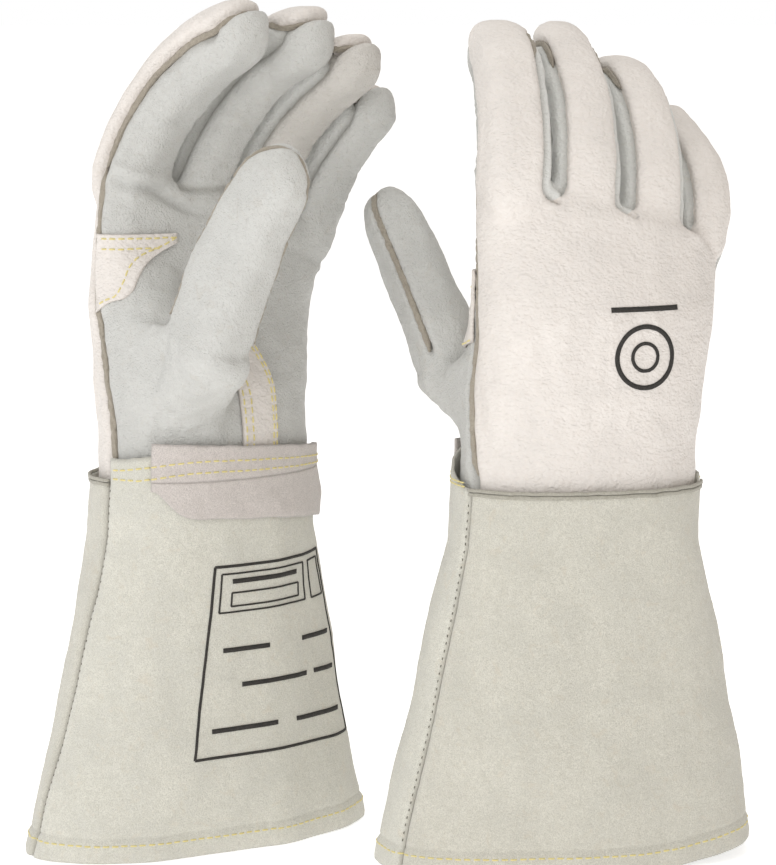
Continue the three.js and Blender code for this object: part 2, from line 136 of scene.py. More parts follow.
# ---------------------------------------------------------------------------
# Small maths
# ---------------------------------------------------------------------------
def smooth(t):
    t = np.clip(t, 0, 1)
    return t * t * (3 - 2 * t)


def mix(a, b, t):
    return a + (b - a) * t


def table_at(table, key):
    return [np.interp(key, table[:, 0], table[:, i]) for i in range(1, table.shape[1])]


def superellipse(angle, power):
    a = np.radians(angle)
    c, s = np.cos(a), np.sin(a)
    return np.sign(c) * np.abs(c) ** (2 / power), np.sign(s) * np.abs(s) ** (2 / power)


def unit(v):
    return v / np.maximum(np.linalg.norm(v, axis=-1, keepdims=True), 1e-9)


EDGES_OF_A_CUBE = [g for g in (np.indices((3, 3, 3)).reshape(3, -1).T - 1) if np.abs(g).sum() == 2]
GRADIENTS = unit(np.array(EDGES_OF_A_CUBE, float))


def noise(points, seed=0):
    """Gradient noise of points, roughly from -1 to 1, the same at every run."""
    cell = np.floor(points).astype(np.int64)
    f = points - cell
    u = f * f * f * (f * (f * 6 - 15) + 10)
    total = np.zeros(points.shape[:-1])
    for corner in np.ndindex(2, 2, 2):
        x, y, z = np.moveaxis(cell + corner, -1, 0)
        h = x * 73856093 ^ y * 19349663 ^ z * 83492791 ^ (seed * 97531 + 17)
        h = (h ^ (h >> 13)) * 1274126177 & 0x7FFFFFFF
        h ^= h >> 15
        weight = np.prod(np.where(corner, u, 1 - u), axis=-1)
        total += weight * np.einsum("...i,...i->...", GRADIENTS[h % len(GRADIENTS)], f - corner)
    return total * 1.6


def row_noise(p, count, seed, row=0.0):
    """Noise along an edge, as count waves from p = 0 to 1."""
    return noise(np.stack([p * count, p * 0 + row, p * 0], -1), seed)


def bump(distance, width):
    """1 where distance is 0, falling off over width."""
    return np.exp(-((distance / width) ** 2))


# ---------------------------------------------------------------------------
# The shapes: cuff and hand sections, and the digits' tubes
# ---------------------------------------------------------------------------
def cuff_point(glove, angle, z, depth):
    angle, z, depth = np.broadcast_arrays(np.asarray(angle, float), z, depth)
    cx, cy, w, h = table_at(CUFF_SECTIONS, z)
    c, s = superellipse(angle, SECTION_POWER)
    x, y = cx + (w - depth) * c, cy + (h - depth) * s
    t = np.radians(glove["twist"] * np.clip(1 - z / WRIST_Z, 0, 1))
    return np.stack([x * np.cos(t) - y * np.sin(t), x * np.sin(t) + y * np.cos(t), z], -1)


def arch(x, z):
    off = x - 20.0
    return smooth((z - WAIST_Z) / 94.0) * (0.21 * off + 0.002 * off**2 - 6.3)


def hand_point(angle, z, depth):
    angle, z, depth = np.broadcast_arrays(np.asarray(angle, float), z, depth)
    cx, cy, w, h = table_at(HAND_SECTIONS, z)
    c, s = superellipse(angle, SECTION_POWER)
    x = cx + (w - depth) * c
    return np.stack([x, cy + (h - depth) * s + arch(x, z), z], -1)


def hand_angle(points):
    """The angle round the hand's section and how far out of it each point lies, 1 on its surface."""
    cx, cy, w, h = table_at(HAND_SECTIONS, points[:, 2])
    c, s = (points[:, 0] - cx) / w, (points[:, 1] - arch(points[:, 0], points[:, 2]) - cy) / h
    half = SECTION_POWER / 2
    angle = np.degrees(np.arctan2(np.sign(s) * np.abs(s) ** half, np.sign(c) * np.abs(c) ** half)) % 360
    return angle, (np.abs(c) ** SECTION_POWER + np.abs(s) ** SECTION_POWER) ** (1 / SECTION_POWER)


def seam_angle(glove, z):
    return mix(*glove["seam"], np.clip((z - WRIST_Z) / (KNUCKLE_Z - WRIST_Z), 0, 1))


def top_height(angle, below):
    cx, _, w, _ = table_at(HAND_SECTIONS, KNUCKLE_Z)
    c, _ = superellipse(angle, SECTION_POWER)
    return KNUCKLE_Z + KNUCKLE_SLOPE * (cx + w * c) - mix(below, 15.0, smooth((np.abs(c) - 0.8) / 0.17))


class Tube:
    """A digit: a bent tube with a round tip, its hinge at origin and its local Z along it."""

    def __init__(self, origin, axes, length, half, taper, lean, tilt, start):
        self.origin, self.axes, self.start = np.array(origin, float), np.array(axes, float), start
        self.length, self.half, self.taper = length, half, taper
        self.lean, self.tilt = math.tan(math.radians(lean)), np.radians(tilt)
        self.reach = half[0] * TIP_REACH
        self.knee = 0.45 * length

    def centre(self, along):
        first, middle, last = self.tilt
        knee, rest = self.knee, self.length - self.knee
        before, after = np.clip(along / knee, 0, 1), np.clip((along - knee) / rest, 0, 1)

        def arc(length, start, turn):
            turn = np.where(np.abs(turn) < 1e-6, 1e-6, turn)
            r = length / turn
            return r * (np.cos(start) - np.cos(start + turn)), r * (np.sin(start + turn) - np.sin(start))

        y, z = arc(before * knee, first, (middle - first) * before)
        dy, dz = arc(after * rest, middle, (last - middle) * after)
        straight = np.minimum(along, 0)
        bend = np.where(after > 0, mix(middle, last, after), mix(first, middle, before))
        return y + dy + straight * np.sin(first), z + dz + straight * np.cos(first), bend

    def size(self, along):
        into = np.clip((along - (self.length - self.reach)) / self.reach, 0, 1)
        taper = 1 - self.taper * np.clip(along / self.length, 0, 1)
        return np.sqrt(np.maximum(0, 1 - into**2)) * taper, into

    def point(self, angle, along, depth=0.0):
        angle, along, depth = np.broadcast_arrays(np.asarray(angle, float), np.asarray(along, float), depth)
        c, s = superellipse(angle, DIGIT_POWER)
        y, z, bend = self.centre(along)
        size, into = self.size(along)
        width, palm = (np.maximum(half * size - depth, 0.01) * k for half, k in zip(self.half, (c, s)))
        back = depth * into**2
        local_y = y + palm * np.cos(bend) - back * np.sin(bend)
        local_z = z - palm * np.sin(bend) - back * np.cos(bend)
        local_x = width + np.maximum(z, 0) * self.lean
        return self.origin + np.stack([local_x, local_y, local_z], -1) @ self.axes

    def locate(self, points):
        """Angle round the tube, distance along it and how far out of it each point lies."""
        q = (points - self.origin) @ self.axes.T
        x = q[:, 0] - np.maximum(q[:, 2], 0) * self.lean
        samples = np.linspace(-45, self.length, 240)
        cy, cz, bend = self.centre(samples)
        best = np.argmin((q[:, 1, None] - cy) ** 2 + (q[:, 2, None] - cz) ** 2, axis=1)
        dy, dz, b = q[:, 1] - cy[best], q[:, 2] - cz[best], bend[best]
        along = samples[best] + dy * np.sin(b) + dz * np.cos(b)
        palm = dy * np.cos(b) - dz * np.sin(b)
        c, s, half = x / self.half[0], palm / self.half[1], DIGIT_POWER / 2
        angle = np.degrees(np.arctan2(np.sign(s) * np.abs(s) ** half, np.sign(c) * np.abs(c) ** half)) % 360
        width = 1 - self.taper * np.clip(along / self.length, 0, 1)
        over = np.maximum(along - (self.length - self.reach), 0) / self.reach
        return angle, along, np.sqrt((c / width) ** 2 + (s / width) ** 2 + over**2), s / width

    def cut(self):
        """The plane where the digit's own skin starts: a point on its centre line and the direction there."""
        y, z, bend = self.centre(np.array(self.start, float))
        point = self.origin + np.array([max(float(z), 0) * self.lean, float(y), float(z)]) @ self.axes
        return point, np.array([0, math.sin(bend), math.cos(bend)]) @ self.axes

    def bend(self):
        """The point where the digit's own skin starts, and the digit's direction there, BLEND_LENGTH long."""
        point, direction = self.cut()
        return point, direction * BLEND_LENGTH


def digits_of(glove):
    tubes = {}
    for name, f in FINGERS.items():
        lean, tilt = glove[name]
        r = math.radians(f["roll"])
        axes = [[math.cos(r), math.sin(r), 0], [-math.sin(r), math.cos(r), 0], [0, 0, 1]]
        dx, dy, half, length = glove["shape"][name]
        root = (f["x"] + dx, f["y"] + dy, KNUCKLE_Z + KNUCKLE_SLOPE * f["x"])
        tubes[name] = Tube(root, axes, length, half, FINGER_TAPER, lean, tilt, START[name])
    along = unit(np.array(glove["aims"], float))
    palmward = unit(np.array([0, 1.0, 0]) - along * along[1])
    across = np.cross(palmward, along)
    lean, tilt = glove["thumb"]
    _, _, half, length = glove["shape"]["thumb"]
    axes = [across, palmward, along]
    tubes["thumb"] = Tube(glove["root"], axes, length, half, THUMB_TAPER, lean, tilt, START["thumb"])
    return tubes


# ---------------------------------------------------------------------------
# Closed lofts, and their union
# ---------------------------------------------------------------------------
def closed_loft(rings):
    """Vertices and faces of a closed body through rings of equal length, with fans at both ends."""
    n = rings[0].shape[0]
    verts = np.concatenate([*rings, rings[0].mean(0)[None], rings[-1].mean(0)[None]])
    faces = []
    for j in range(len(rings) - 1):
        for i in range(n):
            k = (i + 1) % n
            faces.append((j * n + i, j * n + k, (j + 1) * n + k, (j + 1) * n + i))
    first, last = len(verts) - 2, len(verts) - 1
    top = (len(rings) - 1) * n
    for i in range(n):
        k = (i + 1) % n
        faces.append((k, i, first))
        faces.append((top + i, top + k, last))
    return verts, faces


def tube_loft(tube, start):
    angles = np.arange(0, 360, 7.5)
    straight = np.linspace(start, tube.length - tube.reach, 26)
    tip = tube.length - tube.reach + tube.reach * np.sin(np.radians([12, 24, 36, 48, 58, 67, 75, 82, 87]))
    narrow = lambda a: 7.5 * (1 - smooth((a - start) / (-start - 1))) ** 1.5
    return closed_loft([tube.point(angles, np.full(len(angles), a), narrow(a)) for a in [*straight, *tip]])


def hand_loft():
    angles = np.arange(0, 360, 4.0)
    top = top_height(angles, 7.0)
    rings = [hand_point(angles, mix(150.0, top, q), 0) for q in np.linspace(0, 1, 40)]
    for turn in np.radians([15, 30, 45, 60, 75, 90]):
        ring = hand_point(angles, top, 15 * (1 - math.cos(turn)))
        ring[:, 2] += 7 * math.sin(turn)
        rings.append(ring)
    return closed_loft(rings)


def root_point(glove, tube, angle, depth=0.0):
    across, palmward, along = tube.axes
    a = np.radians(np.asarray(angle, float))[..., None]
    centre = np.array(glove["root"], float) - along * THUMB_ROOT_DEPTH
    width, thickness = (half - depth for half in THUMB_ROOT)
    return centre + across * width * np.cos(a) + palmward * thickness * np.sin(a)


def ball_loft(glove, tube):
    """The ball of the thumb: from the hand's own section at the wrist to the round root of the thumb."""
    p = np.linspace(0, 1, 48)
    edge_angle = lambda q, z: mix(table_at(PALM_EDGE, z)[0], seam_angle(glove, z) - BESIDE_SEAM, q)
    low = glove["patch"][0] - 4.0
    corner = [hand_point(edge_angle(side, low), low, 0) for side in (0.0, 1.0)]
    onto, off, first, last = 0.16, 0.74, 18.0, THUMB_SEAMS[1] + 3
    rim = np.empty((len(p), 3))
    for i, q in enumerate(p):
        if q < onto:
            rim[i] = mix(corner[0], root_point(glove, tube, first), q / onto)
        elif q > off:
            rim[i] = mix(root_point(glove, tube, last), corner[1], (q - off) / (1 - off))
        else:
            rim[i] = root_point(glove, tube, mix(first, last, (q - onto) / (off - onto)))
    under = hand_point(edge_angle(p, rim[:, 2]), rim[:, 2], 0)
    rings = []
    for q in np.linspace(0, 1, 30):
        z = mix(180.0, rim[:, 2], q)
        share = smooth((z - WAIST_Z) / (rim[:, 2] - WAIST_Z))
        row = hand_point(edge_angle(p, z), z, 0)
        row[:, :2] += share[:, None] * (rim - under)[:, :2]
        rings.append(row)
    return closed_loft(rings)


def web_point(glove, tube, p, q, depth):
    """A point of the web between thumb and index finger, depth millimetres below its face."""
    low, high = glove["patch"]
    z = mix(low, high, q)
    angle = lambda h: mix(CROTCH_ANGLE, seam_angle(glove, h) - BESIDE_SEAM, p)
    root = root_point(glove, tube, mix(360.0, THUMB_SEAMS[1] + 12, p), depth)
    reach = 0.82 * np.sin(np.pi * mix(0.06, 1.0, p))
    edge = mix(hand_point(angle(z), low, depth), root, np.asarray(reach)[..., None])
    return mix(edge, hand_point(angle(z), z, depth), smooth(np.asarray(q) * 1.4)[..., None])


def web_loft(glove, tube):
    p, q = np.meshgrid(np.linspace(0, 1, 24), [-0.15, *np.linspace(0, 1, 16)])
    rings = []
    for row in range(17):
        outer, inner = (web_point(glove, tube, p[row], q[row], d) for d in (0.0, 9.0))
        outer[:, 2] += min(q[row, 0], 0) * 28
        inner[:, 2] += min(q[row, 0], 0) * 28
        rings.append(np.concatenate([outer, inner[::-1]]))
    return closed_loft(rings)


def new_mesh(name, verts, faces):
    mesh = bpy.data.meshes.new(name)
    faces = [tuple(int(i) for i in f) for f in faces]
    mesh.from_pydata([tuple(v) for v in np.asarray(verts, float)], [], faces)
    mesh.update()
    return mesh


def union(parts):
    """One closed skin round overlapping closed bodies, as vertices and triangles."""
    verts, faces, base = [], [], 0
    for v, f in parts:
        verts.append(v)
        faces += [tuple(i + base for i in face) for face in f]
        base += len(v)
    mesh = new_mesh("union", np.concatenate(verts), faces)
    obj = bpy.data.objects.new("union", mesh)
    bpy.context.scene.collection.objects.link(obj)
    remesh = obj.modifiers.new("remesh", "REMESH")
    remesh.mode, remesh.voxel_size, remesh.adaptivity = "VOXEL", VOXEL, 0.0
    made = obj.evaluated_get(bpy.context.evaluated_depsgraph_get()).to_mesh()
    made.calc_loop_triangles()
    v = np.empty(len(made.vertices) * 3)
    made.vertices.foreach_get("co", v)
    t = np.empty(len(made.loop_triangles) * 3, np.int32)
    made.loop_triangles.foreach_get("vertices", t)
    bpy.data.objects.remove(obj)
    bpy.data.meshes.remove(mesh)
    return largest_part(v.reshape(-1, 3), t.reshape(-1, 3).astype(np.int64))


def largest_part(v, t):
    """Only the largest connected part of a triangle mesh."""
    label = np.arange(len(v))
    while True:
        low = label[t].min(1)
        new = label.copy()
        np.minimum.at(new, t.ravel(), np.repeat(low, 3))
        new = new[new]
        if (new == label).all():
            break
        label = new
    keep = np.argmax(np.bincount(label))
    return compact(v, t[label[t[:, 0]] == keep])[:2]


def compact(v, t, *extra):
    used = np.unique(t)
    renumber = np.full(len(v), -1)
    renumber[used] = np.arange(len(used))
    return (v[used], renumber[t], *[e[used] for e in extra])


def edges_of(t):
    return np.concatenate([t[:, [0, 1]], t[:, [1, 2]], t[:, [2, 0]]])


def neighbours(t, n):
    edges = np.unique(np.sort(edges_of(t), axis=1), axis=0)
    count = np.bincount(edges.ravel(), minlength=n).astype(float)
    return edges, count


def relax(v, t, rounds, weight=1.0, shrink=True):
    """Evens a mesh out. Without shrink it pushes back after each round."""
    edges, count = neighbours(t, len(v))
    for _ in range(rounds):
        for factor in (0.5,) if shrink else (0.5, -0.52):
            total = np.zeros_like(v)
            np.add.at(total, edges[:, 0], v[edges[:, 1]])
            np.add.at(total, edges[:, 1], v[edges[:, 0]])
            step = (total / count[:, None] - v) * factor
            v = v + step * (weight if np.isscalar(weight) else weight[:, None])
    return v


def normals_of(v, t):
    face = np.cross(v[t[:, 1]] - v[t[:, 0]], v[t[:, 2]] - v[t[:, 0]])
    n = np.zeros_like(v)
    for k in range(3):
        np.add.at(n, t[:, k], face)
    return unit(n)


# ---------------------------------------------------------------------------
# Cutting a skin along a line where a field is zero
# ---------------------------------------------------------------------------
def cut(data, t, field):
    """Splits the triangles where column `field` of data changes sign. Every column is carried over."""
    f = data[:, field].copy()
    f[np.abs(f) < 0.22] = 0.0
    data = data.copy()
    data[:, field] = f
    side = np.sign(f[t])
    crossing = (side.min(1) < 0) & (side.max(1) > 0)
    keep, work = t[~crossing], t[crossing]
    if not len(work):
        return data, t
    s = np.sign(f[work])
    edges = edges_of(work)
    cross = f[edges[:, 0]] * f[edges[:, 1]] < 0
    pairs = np.unique(np.sort(edges[cross], axis=1), axis=0)
    share = f[pairs[:, 0]] / (f[pairs[:, 0]] - f[pairs[:, 1]])
    added = data[pairs[:, 0]] * (1 - share[:, None]) + data[pairs[:, 1]] * share[:, None]
    added[:, field] = 0.0
    n = len(data)
    key = pairs[:, 0] * n + pairs[:, 1]

    def middle(a, b):
        return n + np.searchsorted(key, np.minimum(a, b) * n + np.maximum(a, b))

    made = []
    has_zero = (s == 0).any(1)
    one = work[has_zero]
    if len(one):
        k = np.argmax(np.sign(f[one]) == 0, axis=1)
        a, b, c = (one[np.arange(len(one)), (k + i) % 3] for i in range(3))
        m = middle(b, c)
        made += [np.stack([a, b, m], 1), np.stack([a, m, c], 1)]
    two = work[~has_zero]
    if len(two):
        st = np.sign(f[two])
        lone = np.where(st.sum(1) > 0, -1, 1)
        k = np.argmax(st == lone[:, None], axis=1)
        a, b, c = (two[np.arange(len(two)), (k + i) % 3] for i in range(3))
        ab, ac = middle(a, b), middle(a, c)
        made += [np.stack([a, ab, ac], 1), np.stack([ab, b, c], 1), np.stack([ab, c, ac], 1)]
    return np.concatenate([data, added]), np.concatenate([keep, *made])


# ---------------------------------------------------------------------------
# From a glove's own frame to the row's frame
# ---------------------------------------------------------------------------
joint_of = {joint["child"]: joint for joint in frame["joints"]}


def turned(glove, points):
    p = np.asarray(points, float) * np.array([1.0, glove["side"], 1.0])
    t = math.radians(glove["turn"])
    c, s = math.cos(t), math.sin(t)
    return np.stack([p[..., 0] * c - p[..., 1] * s, p[..., 0] * s + p[..., 1] * c, p[..., 2]], -1)


for name, glove in GLOVES.items():
    index = FINGERS["index"]
    hinge = np.array(joint_of[f"{name}_index"]["pos_m"]) / MM
    glove["name"] = name
    glove["place"] = hinge - turned(glove, [index["x"], index["y"], KNUCKLE_Z + KNUCKLE_SLOPE * index["x"]])
    glove["tubes"] = digits_of(glove)


def world(glove, points):
    return (turned(glove, points) + glove["place"]) * MM


# ---------------------------------------------------------------------------
# Pieces
# ---------------------------------------------------------------------------
def add_piece(glove, name, verts, faces, normals, finish, body, wear_and_shade=None, bend=None):
    """A mesh piece from millimetre points in a glove's frame. Without a bend it rides on its body; with a
    bend it is left loose, its place baked into its mesh."""
    if glove["side"] < 0:
        faces = [tuple(f)[::-1] for f in faces]
    mesh = new_mesh(name, world(glove, verts), faces)
    mesh.shade_smooth()
    if normals is not None:
        loops = np.empty(len(mesh.loops), np.int32)
        mesh.loops.foreach_get("vertex_index", loops)
        mesh.normals_split_custom_set([tuple(x) for x in turned(glove, normals)[loops]])
    rest = mesh.attributes.new("rest", "FLOAT_VECTOR", "POINT")
    rest.data.foreach_set("vector", np.asarray(verts, np.float32).ravel())
    # darker colour along the seams and sheet borders: partly wear, partly painted shade
    worn = mesh.attributes.new("wear_and_shade", "FLOAT", "POINT")
    worn.data.foreach_set("value", (np.zeros(len(verts)) if wear_and_shade is None else wear_and_shade).astype(np.float32))
    mesh.materials.append(MATERIALS[finish])
    obj = bpy.data.objects.new(name, mesh)
    bpy.context.scene.collection.objects.link(obj)
    if bend is None:
        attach(obj, body)
    else:
        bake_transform(obj)
    return obj


def thick_skin(v, t, n, thickness):
    """A closed sheet of leather from a patch of skin: its face, its back and a rim along its border."""
    count = len(v)
    inner = v - n * thickness
    edges = edges_of(t)
    key, back = edges[:, 0] * count + edges[:, 1], edges[:, 1] * count + edges[:, 0]
    border = edges[~np.isin(key, back)]
    faces = [tuple(f) for f in t] + [tuple(f) for f in (t[:, ::-1] + count)]
    faces += [(b, a, a + count, b + count) for a, b in border]
    return np.concatenate([v, inner]), faces, np.concatenate([n, -n])


def thick_grid(points, normals, thickness, edge=0.25):
    """A closed sheet from a grid of points; its outer face is rounded off at the border."""
    rows, cols = points.shape[:2]
    rim = np.zeros((rows, cols))
    rim[0], rim[-1], rim[:, 0], rim[:, -1] = 1, 1, 1, 1
    outer = points - normals * (rim * edge)[..., None]
    inner = points - normals * np.broadcast_to(thickness, rim.shape)[..., None]
    idx = np.arange(rows * cols).reshape(rows, cols)
    a, b, c, d = idx[:-1, :-1].ravel(), idx[:-1, 1:].ravel(), idx[1:, 1:].ravel(), idx[1:, :-1].ravel()
    front = np.stack([a, b, c, d], 1)
    base = rows * cols
    faces = [tuple(f) for f in front] + [tuple(f) for f in (front[:, ::-1] + base)]
    loop = [*idx[0], *idx[1:, -1], *idx[-1, ::-1][1:], *idx[::-1, 0][1:-1]]
    for i, j in zip(loop, [*loop[1:], loop[0]]):
        faces.append((j, i, i + base, j + base))
    # keep the faces' winding outward
    some = front[len(front) // 2]
    p = outer.reshape(-1, 3)[some]
    if np.cross(p[1] - p[0], p[2] - p[0]) @ normals.reshape(-1, 3)[some[0]] < 0:
        faces = [f[::-1] for f in faces]
    verts = np.concatenate([outer.reshape(-1, 3), inner.reshape(-1, 3)])
    return verts, faces, rim.ravel()


def resample(path, step):
    """Points at equal distances along a path, and the values that go with them."""
    length = np.concatenate([[0], np.cumsum(np.linalg.norm(np.diff(path[:, :3], axis=0), axis=1))])
    count = max(2, int(round(length[-1] / step)) + 1)
    at = np.linspace(0, length[-1], count)
    return np.stack([np.interp(at, length, path[:, k]) for k in range(path.shape[1])], 1), length[-1]


def sweep(path, up, profile, scale=None):
    """A closed body along a path. profile holds (sideways, up) points; scale varies it along the path."""
    tangent = unit(np.gradient(path, axis=0))
    side = unit(np.cross(tangent, up))
    up = unit(np.cross(side, tangent))
    scale = np.ones((len(path), 2)) if scale is None else scale
    rings = [
        at + np.outer(profile[:, 0] * wide, s) + np.outer(profile[:, 1] * high, u)
        for at, s, u, (wide, high) in zip(path, side, up, scale)
    ]
    return outward(*closed_loft(rings))


def outward(verts, faces):
    """The faces turned so that the body's volume is positive."""
    volume = 0.0
    for f in faces:
        for k in range(1, len(f) - 1):
            volume += verts[f[0]] @ np.cross(verts[f[k]], verts[f[k + 1]])
    return verts, (faces if volume > 0 else [tuple(f)[::-1] for f in faces])


def stitches(path, up, length=3.4, gap=0.9, radius=0.44, sink=0.1):
    """Separate stitches along a path, as one mesh: short rounded threads whose ends dip into the leather."""
    values, total = resample(np.concatenate([path, up], 1), 0.5)
    at = np.linspace(0, total, len(values))
    verts, faces = [], []
    step = length + gap
    shares = np.array([0.0, 0.12, 0.5, 0.88, 1.0])
    r = radius * np.array([0.5, 0.95, 1.0, 0.95, 0.5])
    turn = np.radians(np.arange(0, 360, 60))
    circle = np.stack([np.cos(turn), np.sin(turn)], 1)
    for k in range(int(total // step)):
        begin = k * step + gap / 2 + rng.uniform(-0.15, 0.15)
        slip = rng.uniform(-0.12, 0.12)
        here = np.stack([np.interp(begin + shares * length, at, column) for column in values.T], 1)
        pos, n = here[:, :3], unit(here[:, 3:])
        tangent = unit(pos[-1] - pos[0])
        side = unit(np.cross(tangent, n))
        pos = pos + n * (np.array([-0.35, 0.08, 0.2, 0.08, -0.35]) - sink)[:, None] + side * slip
        base = sum(len(v) for v in verts)
        rings = [centre + size * circle @ [a, b] for centre, size, a, b in zip(pos, r, side, n)]
        v, f = closed_loft(rings)
        verts.append(v)
        faces += [tuple(x + base for x in face) for face in f]
    return np.concatenate(verts), faces


class Bundle:
    """Meshes that ride on one glove in one finish, gathered into one piece."""

    def __init__(self):
        self.verts, self.faces, self.count = [], [], 0

    def add(self, verts, faces):
        self.verts.append(verts)
        self.faces += [tuple(int(i) + self.count for i in f) for f in faces]
        self.count += len(verts)

    def place(self, glove, name, finish):
        verts, body = np.concatenate(self.verts), f"{glove['name']}_glove"
        return add_piece(glove, name, verts, self.faces, None, finish, body)


# ---------------------------------------------------------------------------
# The skin of one hand: union, fields, folds, panels
# ---------------------------------------------------------------------------
FINGER_NAMES = list(FINGERS)
PLAIN_SIDE = {"index": "inner_fourchette", "little": "outer_fourchette"}
# signed distances in millimetres: over the hand's bottom or a digit's start, or inside a panel
SEAM_FIELDS = ["bottom", "thumb", "finger", "back", "front", "thumb_outer", "ball"]
OUT_FIELDS = [f"out_{name}" for name in FINGER_NAMES]
COLUMNS = [*SEAM_FIELDS, "side", "wear_and_shade", "out_thumb", *OUT_FIELDS]
AT = {name: 6 + i for i, name in enumerate(COLUMNS)}
HAND_BOTTOM = 172.0
# share of the finger's length, depth, width as a share
FINGER_CREASES = (
    (0.10, 0.8, 0.016), (0.17, 0.55, 0.012), (0.36, 1.0, 0.018), (0.43, 0.7, 0.014), (0.49, 0.5, 0.012),
    (0.68, 0.5, 0.014),
)


def tip_turn(over):
    """How far the seam turns to the back, in degrees, at a share of the way over the round tip."""
    over = np.clip(over, 0, 0.999)
    return np.degrees(np.arcsin(np.clip(TIP_LEAN * over / np.sqrt(1 - over**2), 0, 1)))


def near_tip(share):
    """From 0 to 1 over the stretch of a finger where its side walls end."""
    return smooth((share - 0.72) / 0.2)


def around(angle, centre):
    """Signed difference of angles, from -180 to 180."""
    return (angle - centre + 180) % 360 - 180


def hand_fields(glove, v):
    """Signed distances in millimetres to the seams, positive inside the piece that each is named for."""
    tubes = glove["tubes"]
    angle, out = hand_angle(v)
    z = v[:, 2]
    unwrapped = np.where(angle < 90, angle + 360, angle)
    seam = seam_angle(glove, z)
    radial = np.linalg.norm(v - hand_point(seam, z, 0), axis=1) * np.sign(unwrapped - seam)
    ulnar = np.linalg.norm(v - hand_point(ULNAR_SEAM, z, 0), axis=1) * np.sign(360 + ULNAR_SEAM - unwrapped)
    back_hand = np.minimum(radial, ulnar)

    found = {name: tubes[name].locate(v) for name in tubes}
    out_of = np.stack([found[n][2] for n in FINGER_NAMES], 1)
    near = np.argmin(out_of, 1)
    pick = lambda values: np.take_along_axis(np.stack(values, 1), near[:, None], 1)[:, 0]
    starts = {name: tube.cut() for name, tube in tubes.items()}
    planes = {name: (v - point) @ direction for name, (point, direction) in starts.items()}
    above = pick([planes[n] for n in FINGER_NAMES])
    a, along, palm_share = (pick([found[n][k] for n in FINGER_NAMES]) for k in (0, 1, 3))
    length = np.array([tubes[n].length for n in FINGER_NAMES])[near]
    radius = np.array([tubes[n].half[0] for n in FINGER_NAMES])[near]
    outer = np.cos(np.radians(a)) > 0

    # half widths of the back and front panels, by side; the fourchettes end before the tip
    to_tip = near_tip(along / length)
    back_half = np.where(outer & (near == 0), 42.0, 52.0)
    front_half = np.where(outer, 56.0, 80.0)
    top_seam = glove["seam"][1]
    is_index, is_little = near == 0, near == 3
    back_half = np.where(is_index & ~outer, 270 - top_seam, back_half)
    front_half = np.where(is_index & ~outer, top_seam - 90, front_half)
    back_half = np.where(is_little & outer, 90 + ULNAR_SEAM, back_half)
    front_half = np.where(is_little & outer, 90 - ULNAR_SEAM, front_half)
    reach = radius * TIP_REACH
    beyond = tip_turn((along - (length - reach)) / reach)
    back_half, front_half = mix(back_half, 90.0 - beyond, to_tip), mix(front_half, 90.0 + beyond, to_tip)
    size = np.clip(1 - np.maximum(along - (length - radius), 0) / radius, 0.25, 1)
    per_degree = math.pi / 180 * radius * size
    back_tube = (back_half - np.abs(around(a, 270))) * per_degree
    front_tube = (front_half - np.abs(around(a, 90))) * per_degree
    over = np.clip((along - (length - reach)) / reach, 0, 2)
    over_tip_line = (palm_share + TIP_LEAN * over) * radius * 0.9
    onto_tip = smooth((over - 0.2) / 0.25)
    back_tube, front_tube = mix(back_tube, -over_tip_line, onto_tip), mix(front_tube, over_tip_line, onto_tip)
    height = z - (KNUCKLE_Z + START["index"] + KNUCKLE_SLOPE * v[:, 0])
    onto = smooth((height + 17) / 15)
    back = mix(np.clip(back_hand, -13, 13), np.clip(back_tube, -13, 13), onto)

    ta, talong, tout, _ = found["thumb"]
    thumb_above = np.where(tout < 1.3, planes["thumb"], -5.0)
    thumb_half = (THUMB_SEAMS[1] - THUMB_SEAMS[0]) / 2
    thumb_size = np.clip(1 - np.maximum(talong - 72, 0) / 18, 0.3, 1)
    thumb_outer = (thumb_half - np.abs(around(ta, sum(THUMB_SEAMS) / 2))) * math.pi / 180 * 19 * thumb_size
    edge = table_at(PALM_EDGE, z)[0]
    middle = (glove["patch"][0] + glove["patch"][1]) / 2
    ball = np.minimum(around(angle, edge) * 0.8, np.maximum(middle - z, (1.3 - tout) * 16))
    ball = np.where(thumb_above > 0, 5.0, ball)
    fields = dict(
        finger=above, thumb=thumb_above, back=back, front=front_tube, thumb_outer=thumb_outer, ball=ball,
        bottom=z - HAND_BOTTOM, side=np.cos(np.radians(a)), out_thumb=tout,
        **{f"out_{name}": column for name, column in zip(FINGER_NAMES, out_of.T)},
    )
    return fields, dict(angle=angle, along=along, length=length, near=near, height=height, out=out)


